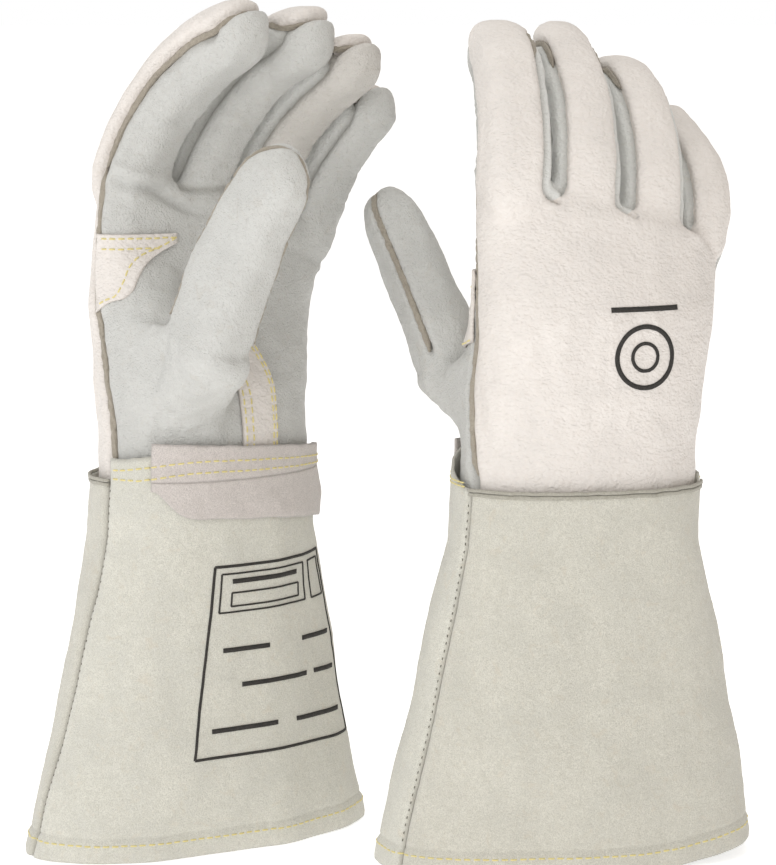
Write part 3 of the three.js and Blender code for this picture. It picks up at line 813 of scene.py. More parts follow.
def fold_hand(v, n, f, e):
    """Moves the skin's points: seams pull in, the leather beside them swells, and the joints crease."""
    z = v[:, 2]
    on_finger = smooth((f["finger"] + 8) / 8) * (f["thumb"] <= 0)
    on_thumb = smooth((f["thumb"] + 3) / 6)
    not_thumb = 1 - on_thumb
    seam_b = np.abs(f["back"])
    seam_f = np.where(on_finger > 0.02, np.abs(f["front"]), 50)
    seam_t = np.where(f["thumb"] > -4, np.abs(f["thumb_outer"]), 50)
    pull = np.zeros(len(v))
    # darker colour along the seams: partly edge wear, partly painted shade in the grooves where the seams
    # pull in
    wear_and_shade = np.zeros(len(v))
    gather = 0.5 + 0.5 * noise(v / 3.4, 3)
    for distance, share in ((seam_b, not_thumb), (seam_f, on_finger), (seam_t, on_thumb)):
        swell = bump(distance - 5.0, 3.2)
        pull += share * (-2.3 * bump(distance, 1.7) + 0.6 * swell - 0.5 * gather * np.exp(-distance / 3.5))
        wear_and_shade = np.maximum(wear_and_shade, share * bump(distance, 1.5))
    # the seam across the base of the middle and ring fronts
    has_base = ((e["near"] == 1) | (e["near"] == 2)) & (f["front"] > 0) & (f["thumb"] <= 0) & (e["out"] < 1.6)
    base = np.where(has_base, np.abs(f["finger"]), 50)
    pull -= 1.3 * bump(base, 1.7)
    wear_and_shade = np.maximum(wear_and_shade, bump(base, 1.4))
    # creases across the fronts, where the fingers bend
    front = smooth(f["front"] / 4) * on_finger
    share = e["along"] / e["length"] + 0.035 * noise(v / 16, 5)
    for at, depth, width in FINGER_CREASES:
        pull -= front * depth * bump(share - at, width) * (0.6 + 0.6 * noise(v / 9, int(at * 100)))
    # the palm's crease under the fingers, deepest on the index finger's side
    under = e["height"] + 10 + 0.16 * (v[:, 0] + 30) + 2.0 * noise(v / 18, 8)
    palmside = smooth((-f["back"] - 3) / 5) * (f["thumb"] <= 0) * smooth((1.35 - e["out"]) / 0.2)
    palmside = palmside * mix(0.25, 1.0, smooth((10 - v[:, 0]) / 30))
    pull -= palmside * (3.4 * bump(under, 2.4) - 1.5 * bump(under - 7, 4))
    # loose leather
    loose = mix(1.0, 0.55, smooth((f["back"] + 2) / 6))
    slack = 1.1 * noise(v / 27, 11) + 0.6 * noise(v / 11, 12) + 0.2 * noise(v / np.array([6.0, 6.0, 3.2]), 13)
    pull += loose * slack
    # folds of the ball of the thumb beside the palm strap
    ball = smooth(f["ball"] / 6) * smooth((z - 186) / 25) * not_thumb
    pull += ball * 0.9 * noise(v / np.array([7.0, 7.0, 26.0]), 15)
    pull *= smooth((z - HAND_BOTTOM + 4) / 14) * 0.9 + 0.1
    return v + n * pull[:, None], wear_and_shade


def tree_of(v, t):
    return BVHTree.FromPolygons([tuple(p) for p in v], [tuple(int(i) for i in q) for q in t])


def build_hand(glove):
    """The skin of one hand, cut along its seams into one closed sheet per piece of leather."""
    side, tubes, thumb = glove["name"], glove["tubes"], glove["tubes"]["thumb"]
    parts = [hand_loft(), ball_loft(glove, thumb), web_loft(glove, thumb), tube_loft(thumb, -12.0)]
    parts += [tube_loft(tubes[n], -26.0) for n in FINGER_NAMES]
    v, t = union(parts)
    if np.einsum("ij,ij->i", v[t[:, 0]], np.cross(v[t[:, 1]], v[t[:, 2]])).sum() < 0:
        t = t[:, ::-1].copy()
    v = relax(v, t, 5, shrink=False)
    f, e = hand_fields(glove, v)
    crotch = bump(f["finger"] + 6, 9) * 0.8
    root = bump(f["thumb"] + 4, 8) * (f["out_thumb"] < 1.9) * (f["thumb"] > -4.99)
    root = np.maximum(root, smooth((1.9 - f["out_thumb"]) / 0.4) * smooth((f["out_thumb"] - 1.06) / 0.1))
    web = smooth((e["angle"] - 108) / 8) * smooth((glove["seam"][0] - 4 - e["angle"]) / 8)
    web = web * bump(v[:, 2] - glove["patch"][0], 14) * (f["out_thumb"] > 1.04)
    v = relax(v, t, 18, np.clip(np.maximum(crotch, root), 0, 1))
    ledge = smooth((f["finger"] + 38) / 8) * smooth((2 - f["finger"]) / 10) * smooth((f["side"] - 0.1) / 0.4)
    ledge = ledge * (e["near"] == 3)
    v = relax(v, t, 60, np.maximum(web, ledge * 0.9))
    n = normals_of(v, t)
    f, e = hand_fields(glove, v)
    glove["plain"] = tree_of(v, t)
    v, wear_and_shade = fold_hand(v, n, f, e)
    n = normals_of(v, t)
    f["wear_and_shade"] = wear_and_shade
    beside = smooth((16 - np.abs(e["height"] + 2)) / 6)
    for name in ("back", "front"):
        field = np.stack([f[name]] * 3, 1)
        f[name] = relax(field, t, 10, beside)[:, 0]
    glove["skin"] = tree_of(v, t)
    data = np.concatenate([v, n, np.stack([f[c] for c in COLUMNS], 1)], 1)
    for column in SEAM_FIELDS:
        data, t = cut(data, t, AT[column])
    data[:, 3:6] = unit(data[:, 3:6])
    seam_b = (np.abs(data[:, AT["back"]]) < 1e-6) & (data[:, AT["thumb"]] <= 0)
    seam_t = (np.abs(data[:, AT["thumb_outer"]]) < 1e-6) & (data[:, AT["thumb"]] > -1)
    glove["seam_lines"] = dict(back=data[seam_b, :3], thumb=data[seam_t, :3])
    c = data[t].mean(1)
    get = lambda name: c[:, AT[name]]
    whole = get("bottom") > 0
    thumb = (get("thumb") > 0) & whole
    near = np.argmin(c[:, [AT[name] for name in OUT_FIELDS]], 1)
    finger = (get("finger") > 0) & ~thumb & whole
    rest = whole & ~thumb & ~finger
    back, front = get("back") > 0, get("front") > 0
    slot = rest & ~back & ~front & (get("ball") <= 0) & (get("finger") > -16)
    pieces = [
        ("hand_back", rest & back, "back", None),
        ("palm", rest & ~back & (get("ball") <= 0) & ~slot, "grain", None),
        # the slot ends take a lighter copy of the grey cowhide: painted light where the slots between the
        # fingers lie in shade
        ("fourchette_ends", slot, "grain_painted_lit", None),
        ("thumb_base", rest & ~back & (get("ball") > 0), "grain", None),
        ("thumb_outer", thumb & (get("thumb_outer") > 0), "grain", "thumb"),
        ("thumb_inner", thumb & (get("thumb_outer") <= 0), "grain", "thumb"),
    ]
    outer = get("side") > 0
    for k, name in enumerate(FINGER_NAMES):
        mine = finger & (near == k)
        is_back = mine & back & ~(front & (get("front") > get("back")))
        is_front = mine & front & ~is_back
        wall = mine & ~is_back & ~is_front
        # the hand's outermost fingers have a plain seam on one side, and a side wall on the other
        walls = {"outer_fourchette": wall & outer, "inner_fourchette": wall & ~outer}
        if name in PLAIN_SIDE:
            is_front = is_front | walls.pop(PLAIN_SIDE[name])
            walls = {"fourchette": mask for mask in walls.values()}
        pieces.append((f"{name}_back", is_back, "back", name))
        pieces.append((f"{name}_front", is_front, "grain_warm" if name == "ring" else "grain", name))
        # the fingers' side walls take the same lighter copy of the cowhide: painted light in the shaded slots
        pieces += [(f"{name}_{label}", mask, "grain_painted_lit", name) for label, mask in walls.items()]
    for piece, mask, finish, digit in pieces:
        d, tris = compact(data, t[mask])
        verts, faces, normals = thick_skin(d[:, :3], tris, d[:, 3:6], HAND_LEATHER)
        body, bend = (f"{side}_{digit}", tubes[digit].bend()) if digit else (f"{side}_glove", None)
        wear_and_shade = np.tile(d[:, AT["wear_and_shade"]], 2)
        obj = add_piece(glove, f"{side}_{piece}_leather", verts, faces, normals, finish, body, wear_and_shade, bend)
        if piece != "fourchette_ends":
            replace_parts(obj, f"{side}_{piece}")


# ---------------------------------------------------------------------------
# Lines on the skin, welts, patches and thread
# ---------------------------------------------------------------------------
def on_skin(tree, points, lift=0.0):
    """The nearest points of a skin and its normals there, lifted off it."""
    found = [tree.find_nearest(Vector(p)) for p in np.asarray(points, float).reshape(-1, 3)]
    place = np.array([f[0] for f in found])
    normal = unit(np.array([f[1] for f in found]))
    if len(normal) > 4:
        for _ in range(2):
            normal[1:-1] = unit(normal[:-2] + normal[1:-1] * 2 + normal[2:])
    return place + normal * lift, normal


def smooth_path(path, rounds=3):
    path = path.copy()
    for _ in range(rounds):
        path[1:-1] = (path[:-2] + 2 * path[1:-1] + path[2:]) / 4
    return path


# sideways and up: two raw edges with a groove between them
WELT_PROFILE = np.array([
    [-1.3, -1.6], [1.3, -1.6], [1.3, 0.55], [0.95, 0.85],
    [0.15, 0.55], [-0.15, 0.55], [-0.95, 0.82], [-1.3, 0.5],
])
WRIST_PROFILE = np.array([[-0.85, -0.9], [0.85, -0.9], [0.85, 0.3], [0.6, 0.5], [-0.6, 0.5], [-0.85, 0.28]])
WELT_LIFT = 1.6


def welt(glove, name, path, part, bend=None, size=1.15, seam="back"):
    """A raw-edged double strip of leather along a seam. The strips over three fingertips have no CAD node."""
    side = glove["name"]
    path, _ = resample(smooth_path(path, 6), 1.1)
    seam = glove["seam_lines"][seam]
    near = [int(np.argmin(((seam - p) ** 2).sum(1))) for p in path]
    shift = seam[near] - path
    shift = shift * smooth((9 - np.linalg.norm(shift, axis=1)) / 3)[:, None]
    path, _ = resample(smooth_path(path + smooth_path(shift, 8), 6), 1.1)
    place, up = on_skin(glove["skin"], path, WELT_LIFT)
    place = smooth_path(place, 30)
    wobble = np.stack([1 + 0.22 * noise(place / 2.6, 21), 1 + 0.3 * noise(place / 3.1, 22)], 1) * size
    ends = np.minimum(np.arange(len(place)), np.arange(len(place))[::-1])
    wobble *= mix(0.35, 1.0, smooth(ends / 7))[:, None]
    verts, faces = sweep(place, up, WELT_PROFILE, wobble)
    body = f"{side}_{part}"
    obj = add_piece(glove, f"{side}_{name}_welt_edge", verts, faces, None, "welt", body, None, bend)
    if "tip" not in name:
        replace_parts(obj, f"{side}_{name}_welt")


def over_tip(tube, inner_seam, outer_seam):
    """The seam's line from the middle of a finger up its inner side, over its tip and down its outer side."""
    last = tube.length - tube.reach * (1 - 1 / math.sqrt(1 + TIP_LEAN**2))
    along = np.linspace(tube.length * TIP_WELT_START, last, 50)
    to_tip = near_tip(along / tube.length)
    turn = tip_turn((along - (tube.length - tube.reach)) / tube.reach)
    inner = tube.point(mix(inner_seam, 180 + turn, to_tip), along)
    outer = tube.point(mix(outer_seam, -turn, to_tip), along)
    return np.concatenate([inner, outer[::-1]])


def build_welts(glove):
    tubes = glove["tubes"]
    plane, direction = tubes["index"].cut()
    z = np.linspace(CUFF_TOP_Z - 9, 325, 140)
    low = hand_point(seam_angle(glove, z), z, 0)
    along = np.linspace(-16, tubes["index"].length * TIP_WELT_START, 90)
    high = tubes["index"].point(glove["seam"][1], along)
    joined = low[low[:, 2] < 300]
    top = high[(high - plane) @ direction > -2]
    bridge = mix(joined[-1], top[0], np.linspace(0, 1, 12)[1:-1, None])
    line, _ = resample(np.concatenate([joined, bridge, top]), 1.5)
    over = (line - plane) @ direction
    welt(glove, "side", line[over < 1.0], "glove")
    round_tip = over_tip(tubes["index"], glove["seam"][1], 180 - FOURCHETTE_SEAM)
    before = line[(over > -0.5) & (np.linalg.norm(line - round_tip[0], axis=1) > 4)]
    welt(glove, "index", np.concatenate([before, round_tip]), "index", tubes["index"].bend())
    for name in ("middle", "ring", "little"):
        outer_seam = ULNAR_SEAM if name == "little" else 180 - FOURCHETTE_SEAM
        welt(glove, f"{name}_tip", over_tip(tubes[name], FOURCHETTE_SEAM, outer_seam), name, size=0.95)
    tube = tubes["thumb"]
    back = tube.point(THUMB_SEAMS[1], np.linspace(-1, tube.length - 1, 70))
    front = tube.point(THUMB_SEAMS[0], np.linspace(tube.length - 1, 0.5, 70))
    welt(glove, "thumb", np.concatenate([back, front]), "thumb", tube.bend(), seam="thumb")


def add_sheet(glove, name, kind, outer, n, thickness, finish, edge=0.3, wear_and_shade=0.7, part="glove", bend=None):
    """One closed sheet in the place of a CAD node, from a grid of points on its outer face."""
    side = glove["name"]
    verts, faces, rim = thick_grid(outer, n, thickness, edge)
    # the sheet's border gets the same darker colour as the seams, partly wear and partly painted shade
    worn = np.tile(rim, 2) * wear_and_shade
    obj = add_piece(glove, f"{side}_{name}_{kind}", verts, faces, None, finish, f"{side}_{part}", worn, bend)
    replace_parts(obj, f"{side}_{name}")
    return obj


def overlay(glove, name, grid):
    """A sheet of white leather that is sewn on top of the skin, from a grid of points near it."""
    rows, cols = grid.shape[:2]
    place, normal = on_skin(glove["plain"], grid)
    place, normal = place.reshape(rows, cols, 3), normal.reshape(rows, cols, 3)
    for _ in range(3):
        for axis in (0, 1):
            n = np.moveaxis(normal, axis, 0)
            n[1:-1] = unit(n[:-2] + 2 * n[1:-1] + n[2:])
            p = np.moveaxis(place, axis, 0)
            p[1:-1] = (p[:-2] + 2 * p[1:-1] + p[2:]) / 4
    swell = 0.35 * noise(place / 7.0, 31) + 0.2 * noise(place / 3.0, 32)
    top = place + normal * (HAND_LEATHER + 0.75 + swell)[..., None]
    add_sheet(glove, name, "leather", top, normal, HAND_LEATHER + 0.4, "back", edge=0.35)
    return top, normal


def grid_line(grid, normals, share):
    """A line along a grid, at a share of its width."""
    at = share * (grid.shape[1] - 1)
    k = int(at)
    line, up = (mix(g[:, k], g[:, k + 1], at - k) for g in (grid, normals))
    return line, unit(up)


def build_patches(glove, thread):
    """The patch over the web of the thumb and the strap down the palm, with their rows of stitches."""
    tube = glove["tubes"]["thumb"]
    p, row = np.meshgrid(np.linspace(0.0, 1, 44), np.linspace(0, 1, 34))
    lowest = smooth_path(np.interp(p[0], *glove["patch_low"]), 4)
    q = mix(lowest, 1.0, row)
    grid = np.stack([web_point(glove, tube, p[i], q[i], 0.0) for i in range(len(p))])
    grid[..., 2] += np.minimum(q, 0) * (glove["patch"][1] - glove["patch"][0])
    top, normal = overlay(glove, "thumb_crotch_patch", grid)
    for at in (0.93, 0.76, None):
        share = (at - lowest) / (1 - lowest) if at else 0.09 / (1 - lowest)
        k = np.flatnonzero((share > 0.2) | (at is None))
        place = share[k] * (len(grid) - 1)
        j = np.clip(place.astype(int), 0, len(grid) - 2)
        t = (place - j)[:, None]
        thread.add(*stitches(mix(top[j, k], top[j + 1, k], t), unit(mix(normal[j, k], normal[j + 1, k], t))))
    z, p = np.meshgrid(np.linspace(CUFF_TOP_Z - 2, 254, 54), np.linspace(-9.5, 9.5, 22), indexing="ij")
    grid = hand_point(88 + p + 14 * smooth((z - 212) / 50), z, 0)
    top, normal = overlay(glove, "palm_strap", grid)
    for share in (0.07, 0.17, 0.74, 0.93):
        thread.add(*stitches(*grid_line(top, normal, share)))


# ---------------------------------------------------------------------------
# Cuffs, the wrist seam, the flap
# ---------------------------------------------------------------------------
def cuff_top(glove, angle):
    """The height of the palm panel's upper edge, which drops towards both side seams."""
    thumb_side, little_side = glove["cuff_ends"]
    from_thumb = glove["seam"][0] - np.asarray(angle, float)
    from_little = np.asarray(angle, float) - ULNAR_SEAM
    top = CUFF_TOP_Z + 2 - wrist_slope(angle)
    low = mix(thumb_side, top, smooth(from_thumb / 70))
    return np.minimum(low, mix(little_side, top, smooth(from_little / 34)))


def wrist_slope(angle):
    """How far the sewn edge of the wrist drops towards the little finger's side."""
    return WRIST_SLOPE * smooth((160 - np.asarray(angle, float)) / 175)


def cuff_surface(glove, angle, z):
    """The cuff's outer face with its soft waves. Both panels and everything that is sewn to them share it."""
    angle, z = np.broadcast_arrays(np.asarray(angle, float), np.asarray(z, float))
    base = cuff_point(glove, angle, z, 0.0)
    beside = cuff_point(glove, angle + 0.5, z, 0.0) - cuff_point(glove, angle - 0.5, z, 0.0)
    n = unit(np.stack([beside[..., 1], -beside[..., 0], np.zeros_like(beside[..., 0])], -1))
    seed = 40 if glove["name"] == "left" else 60
    calm = smooth((WRIST_Z + 4 - z) / 40)
    wave = calm * 2.6 * noise(base / np.array([46.0, 46.0, 80.0]), seed)
    wave = wave + calm * 1.2 * noise(base / np.array([20.0, 20.0, 34.0]), seed + 1)
    wave = wave + 0.22 * noise(base / 6.0, seed + 2)
    wave = wave + (1 - calm) * 0.25 * noise(base / np.array([9.0, 9.0, 14.0]), seed + 3)
    for seam in (glove["seam"][0], ULNAR_SEAM):
        off = around(angle, seam) * 1.1
        wave = wave - bump(off, 1.7) + 0.35 * bump(np.abs(off) - 5, 3.0)
    wave = wave - 0.7 * bump(z - HEM_HEIGHT, 1.1) + 0.5 * smooth((HEM_HEIGHT - z) / 1.5)
    rise = smooth(np.cos(np.radians(angle)) * 1.1 - 0.25) * (1 - smooth(z / 90))
    base[..., 2] += glove["hem_rise"] * rise
    return base + n * wave[..., None], n


def build_cuff(glove, thread, dark):
    """The two panels of the cuff, their stitches and the raw edges of the wrist seam."""
    radial_seam = glove["seam"][0]
    for piece, finish, first, last, top in (
        ("cuff_back", "split_cool", radial_seam, 360 + ULNAR_SEAM, WRIST_Z),
        ("cuff_palm", "split", ULNAR_SEAM, radial_seam, CUFF_TOP_Z),
    ):
        rows = np.concatenate([np.linspace(0, HEM_HEIGHT + 3, 11)[:-1], np.linspace(HEM_HEIGHT + 3, top, 78)])
        angle, z = np.meshgrid(np.linspace(first + 0.25, last - 0.25, 96), rows)
        if piece == "cuff_palm":
            rough = 0.5 * row_noise(angle, 0.2, 71)
            z = z + (cuff_top(glove, angle) + rough - top) * smooth((z - 130) / (top - 130))
        outer, n = cuff_surface(glove, angle, z)
        thickness = np.where(z < HEM_HEIGHT, 3.0, CUFF_LEATHER)
        add_sheet(glove, piece, "suede", outer, n, thickness, finish, wear_and_shade=0.6)
    turn = np.arange(ULNAR_SEAM + 1, 360 + ULNAR_SEAM - 1, 0.8)
    thread.add(*stitches(*cuff_surface(glove, turn, 8.2)))
    # how far the row is below the edge at either side, and above the flap's fold
    for below, at_little, clear in ((5.2, 2.2, 2.4), (10.8, 5.0, 0.6)):
        turn = np.arange(ULNAR_SEAM + 2, radial_seam - 1.5, 0.8)
        flap = smooth((turn - FLAP_ENDS[0] + 2) / 2) * smooth((FLAP_ENDS[1] + 2 - turn) / 2)
        height = cuff_top(glove, turn) - mix(below, at_little, wrist_slope(turn) / WRIST_SLOPE)
        height = mix(height, np.maximum(height, FLAP_FOLD_Z + clear), smooth((turn - 14) / 8))
        line, n = cuff_surface(glove, turn, height)
        thread.add(*stitches(smooth_path(line + n * (FLAP_LIFT * flap)[:, None], 2), n))
    height = np.arange(12.5, WRIST_Z - 1, 1.0)
    dark.add(*stitches(*cuff_surface(glove, radial_seam - 1.6, height), 1.3, 2.3, 0.24, 0.18))
    thread.add(*stitches(*cuff_surface(glove, ULNAR_SEAM + 1.6, height)))
    # the back's wrist seam: two raw edges, one above the other
    turn = np.arange(radial_seam - 1, 361 + ULNAR_SEAM, 1.0)
    whole = Bundle()
    for z, lift, size in ((174.6, 0.35, 1.0), (176.6, 0.7, 0.9)):
        line = cuff_point(glove, turn, np.full(len(turn), z), -lift)
        line[:, 2] += 0.35 * noise(line / 7.0, 75)
        _, n = cuff_surface(glove, turn, np.full(len(turn), z))
        wobble = np.stack([1 + 0.12 * noise(line / 3.0, 76), 1 + 0.3 * noise(line / 2.6, 77)], 1) * size
        whole.add(*sweep(line, n, WRIST_PROFILE, wobble))
    side = glove["name"]
    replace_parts(whole.place(glove, f"{side}_wrist_welt_edge", "cuff_edge"), f"{side}_wrist_welt")


def build_flap(glove):
    """The suede flap on the palm side of the wrist. Its upper part is sewn down, its lower part hangs."""
    fold, sewn_top, lowest, thickness = FLAP_FOLD_Z, 195.5, 161.0, 1.5

    def surface(p, end, rows):
        p, q = np.meshgrid(p, np.linspace(0, 1, rows))
        z = mix(fold, end, q)
        face, n = cuff_surface(glove, mix(*FLAP_ENDS, p), z)
        away = 0.5 + 1.1 * smooth((0.28 - p) / 0.28) + 0.7 * noise(face / 14.0, 81)
        stand = FLAP_LIFT + smooth((fold - z) / (fold - lowest)) * away + 0.15 * noise(face / 4.0, 82)
        return face + n * stand[..., None], n

    p = np.linspace(0, 1, 96)
    slope = wrist_slope(mix(*FLAP_ENDS, p))
    top = sewn_top + 0.5 * row_noise(p, 16, 83) - slope
    add_sheet(glove, "flap_sewn_edge", "suede", *surface(p, top, 14), thickness, "flap")
    cut_corner, short_end = smooth((p - 0.80) / 0.2) ** 1.4, smooth((0.05 - p) / 0.05) * 2.0
    bottom = mix(lowest - slope, fold - 4.0, cut_corner) + short_end + 0.6 * row_noise(p, 11, 84, 3.0)
    outer, n = surface(p, bottom, 20)
    bend = (np.array([0.0, table_at(CUFF_SECTIONS, fold)[3] + FLAP_LIFT, fold]), FLAP_BEND)
    obj = add_sheet(glove, "wrist_flap", "suede", outer, n, thickness, "flap", part="wrist_flap", bend=bend)


def ribbon(ink, path, up, width, closed=False):
    """A flat printed line on the leather."""
    if closed:
        path, up = np.concatenate([path, path[:2]]), np.concatenate([up, up[:2]])
    profile = np.array([[-width / 2, -0.12], [width / 2, -0.12], [width / 2, 0.35], [-width / 2, 0.35]])
    ink.add(*sweep(path, up, profile))


def build_label(glove, ink):
    """A plain printed label on the palm side of the cuff: a frame, two boxes and a few bars."""
    left, right, low, high = 110.0, 36.0, 46.0, 136.0    # angles and heights
    boxes = ((0, 0, 1, 1), (0.05, 0.76, 0.66, 0.96), (0.74, 0.76, 0.95, 0.96), (0.12, 0.79, 0.59, 0.86))
    # height, start and end of each bar, as shares of the label
    bars = (
        (0.92, 0.12, 0.58), (0.56, 0.10, 0.34), (0.56, 0.60, 0.92), (0.37, 0.22, 0.62), (0.37, 0.70, 0.92),
        (0.14, 0.08, 0.40), (0.14, 0.52, 0.90),
    )

    def line(a, b, c, d, width):
        steps = max(3, int(np.hypot((c - a) * (left - right) * 0.8, (d - b) * (high - low)) / 1.5))
        share = np.linspace(0, 1, steps + 1)
        place, n = cuff_surface(glove, mix(left, right, mix(a, c, share)), mix(low, high, mix(b, d, share)))
        path, _ = resample(np.concatenate([place, n], 1), 1.2)
        ribbon(ink, path[:, :3], path[:, 3:], width)

    for a, b, c, d in boxes:
        for side in ((a, b, c, b), (c, b, c, d), (c, d, a, d), (a, d, a, b)):
            line(*side, 1.3 if a == 0 else 0.8)
    for height, begin, end in bars:
        line(begin, height, end, height, 2.2)


def build_mark(glove, ink):
    """A plain printed ring with a bar above it on the back of the hand."""
    middle_x, middle_z, radius = 27.0, 238.0, 14.0

    def on_back(x, z):
        hits = [glove["skin"].ray_cast(Vector((a, -90.0, b)), Vector((0, 1, 0))) for a, b in zip(x, z)]
        place, up = np.array([h[0] for h in hits]), unit(np.array([h[1] for h in hits]))
        place[:, 1] = smooth_path(place, 4)[:, 1]
        return place, unit(smooth_path(up, 6))

    turn = np.radians(np.arange(0, 360, 5))
    for r, width in ((radius, 2.2), (radius * 0.45, 1.6)):
        ribbon(ink, *on_back(middle_x + r * np.cos(turn), middle_z + r * np.sin(turn)), width, closed=True)
    along = np.linspace(-17, 17, 30)
    ribbon(ink, *on_back(middle_x + along, np.full(30, middle_z + radius + 8)), 2.4)


# ---------------------------------------------------------------------------
# Materials: all procedural, placed by the "rest" attribute in millimetres
# ---------------------------------------------------------------------------
def leather(
    name, base, low, rough=0.6, sheen=0.0, grain=(), mottle=(0.05, 0.35), spots=0.0, worn=None, fibre=0.0,
    tint=None, soil=0.55,
):
    """grain holds (kind, waves per mm, height in metres, stretch); low is the colour in the hollows."""
    m = bpy.data.materials.new(name)
    m.use_nodes = True
    nodes, links = m.node_tree.nodes, m.node_tree.links
    nodes.clear()

    def new(kind, **values):
        """A node with these values on its inputs; an underscore in a name stands for a space."""
        node = nodes.new("ShaderNode" + kind)
        for key, value in values.items():
            node.inputs[key.replace("_", " ")].default_value = value
        return node

    def attribute(label):
        node = new("Attribute")
        node.attribute_name = label
        return node

    out, shader, at, wear_and_shade = new("OutputMaterial"), new("BsdfPrincipled"), attribute("rest"), attribute("wear_and_shade")
    links.new(shader.outputs[0], out.inputs[0])

    def tex(scale, detail=3.0, stretch=(1, 1, 1), roughness=0.55, distortion=0.0):
        mapping = new("Mapping", Scale=[scale * s for s in stretch])
        links.new(at.outputs["Vector"], mapping.inputs["Vector"])
        n = new("TexNoise", Scale=1.0, Detail=detail, Roughness=roughness, Distortion=distortion)
        links.new(mapping.outputs[0], n.inputs["Vector"])
        return n.outputs["Fac"]

    def cells(scale, stretch=(1, 1, 1)):
        mapping = new("Mapping", Scale=[scale * s for s in stretch])
        warp = new("TexNoise", Scale=scale * 0.45, Detail=2.0)
        links.new(at.outputs["Vector"], warp.inputs["Vector"])
        add = new("VectorMath")
        add.operation = "MULTIPLY_ADD"
        add.inputs[1].default_value = (1.5 / scale,) * 3
        links.new(warp.outputs["Color"], add.inputs[0])
        links.new(at.outputs["Vector"], add.inputs[2])
        links.new(add.outputs[0], mapping.inputs["Vector"])
        v = new("TexVoronoi")
        v.feature = "SMOOTH_F1"
        v.inputs["Scale"].default_value, v.inputs["Smoothness"].default_value = 1.0, 0.35
        links.new(mapping.outputs[0], v.inputs["Vector"])
        return v.outputs["Distance"]

    def ramp(value, low_at, high_at):
        r = new("MapRange", From_Min=low_at, From_Max=high_at)
        r.interpolation_type = "SMOOTHSTEP"
        links.new(value, r.inputs["Value"])
        return r.outputs["Result"]

    def blend(factor, a, b):
        x = new("Mix")
        x.data_type = "RGBA"
        links.new(factor, x.inputs["Factor"])
        for socket, value in ((x.inputs[6], a), (x.inputs[7], b)):
            if isinstance(value, tuple):
                socket.default_value = (*value, 1)
            else:
                links.new(value, socket)
        return x.outputs[2]

    def scaled(value, factor, add=0.0):
        s = new("Math")
        s.operation = "MULTIPLY_ADD"
        s.inputs[1].default_value, s.inputs[2].default_value = factor, add
        links.new(value, s.inputs[0])
        return s.outputs[0]

    def times(*factors):
        return tuple(min(1.0, c * f) for c, f in zip(base, factors))

    colour = blend(ramp(tex(mottle[0], 4.0), 0.35, 0.68), base, tint or times(0.93, 0.93, 0.93))
    colour = blend(ramp(tex(mottle[1], 5.0, roughness=0.65), 0.40, 0.72), colour, low)
    if fibre:
        dark_hair = ramp(tex(1.9, 4.0, roughness=0.7), 0.42, 0.62)
        colour = blend(scaled(dark_hair, fibre), colour, times(0.70, 0.70, 0.70))
        pale_hair = ramp(tex(1.1, 5.0, roughness=0.75), 0.52, 0.70)
        colour = blend(scaled(pale_hair, fibre * 0.8), colour, times(1.16, 1.16, 1.16))
    if spots:
        spot = ramp(tex(0.16, 3.0, distortion=1.0), 0.56, 0.74)
        colour = blend(scaled(spot, spots), colour, times(0.86, 0.80, 0.74))
    # darker colour along seams and sheet borders: partly wear, partly painted shade
    if worn:
        colour = blend(scaled(wear_and_shade.outputs["Fac"], soil), colour, worn)
    links.new(colour, shader.inputs["Base Color"])
    links.new(scaled(tex(0.5, 4.0), 0.16, rough - 0.08), shader.inputs["Roughness"])
    shader.inputs["Specular IOR Level"].default_value = 0.32 if not fibre else 0.12
    if sheen:
        shader.inputs["Sheen Weight"].default_value = sheen
        shader.inputs["Sheen Roughness"].default_value = 0.55
    normal = None
    for kind, scale, height, stretch in grain:
        relief = new("Bump", Distance=height, Strength=1.0)
        field = cells(scale, stretch) if kind == "cells" else tex(scale, 4.0, stretch, 0.6)
        links.new(field, relief.inputs["Height"])
        if normal is not None:
            links.new(normal, relief.inputs["Normal"])
        normal = relief.outputs[0]
    links.new(normal, shader.inputs["Normal"])
    return m


EVEN = (1, 1, 1)
HIDE = [
    ("noise", 0.12, 0.0009, (1, 1, 1.7)), ("cells", 0.5, 0.00042, (1, 1, 1.5)),
    ("noise", 1.1, 0.00016, (1, 1, 1.6)),
]
COWHIDE = [("noise", 0.11, 0.0014, EVEN), ("noise", 0.7, 0.0006, (1, 1, 1.3)), ("cells", 1.1, 0.0003, EVEN)]
SUEDE = [("noise", 0.09, 0.0012, EVEN), ("noise", 1.3, 0.00042, EVEN), ("noise", 3.0, 0.00025, EVEN)]
SOFT_SUEDE = [("noise", 1.5, 0.00042, EVEN), ("noise", 3.2, 0.00025, EVEN)]
EDGE = [("noise", 1.8, 0.0005, EVEN)]
YARN = [("noise", 3.5, 0.0003, EVEN)]
PRINT = [("noise", 1.6, 0.0002, EVEN)]
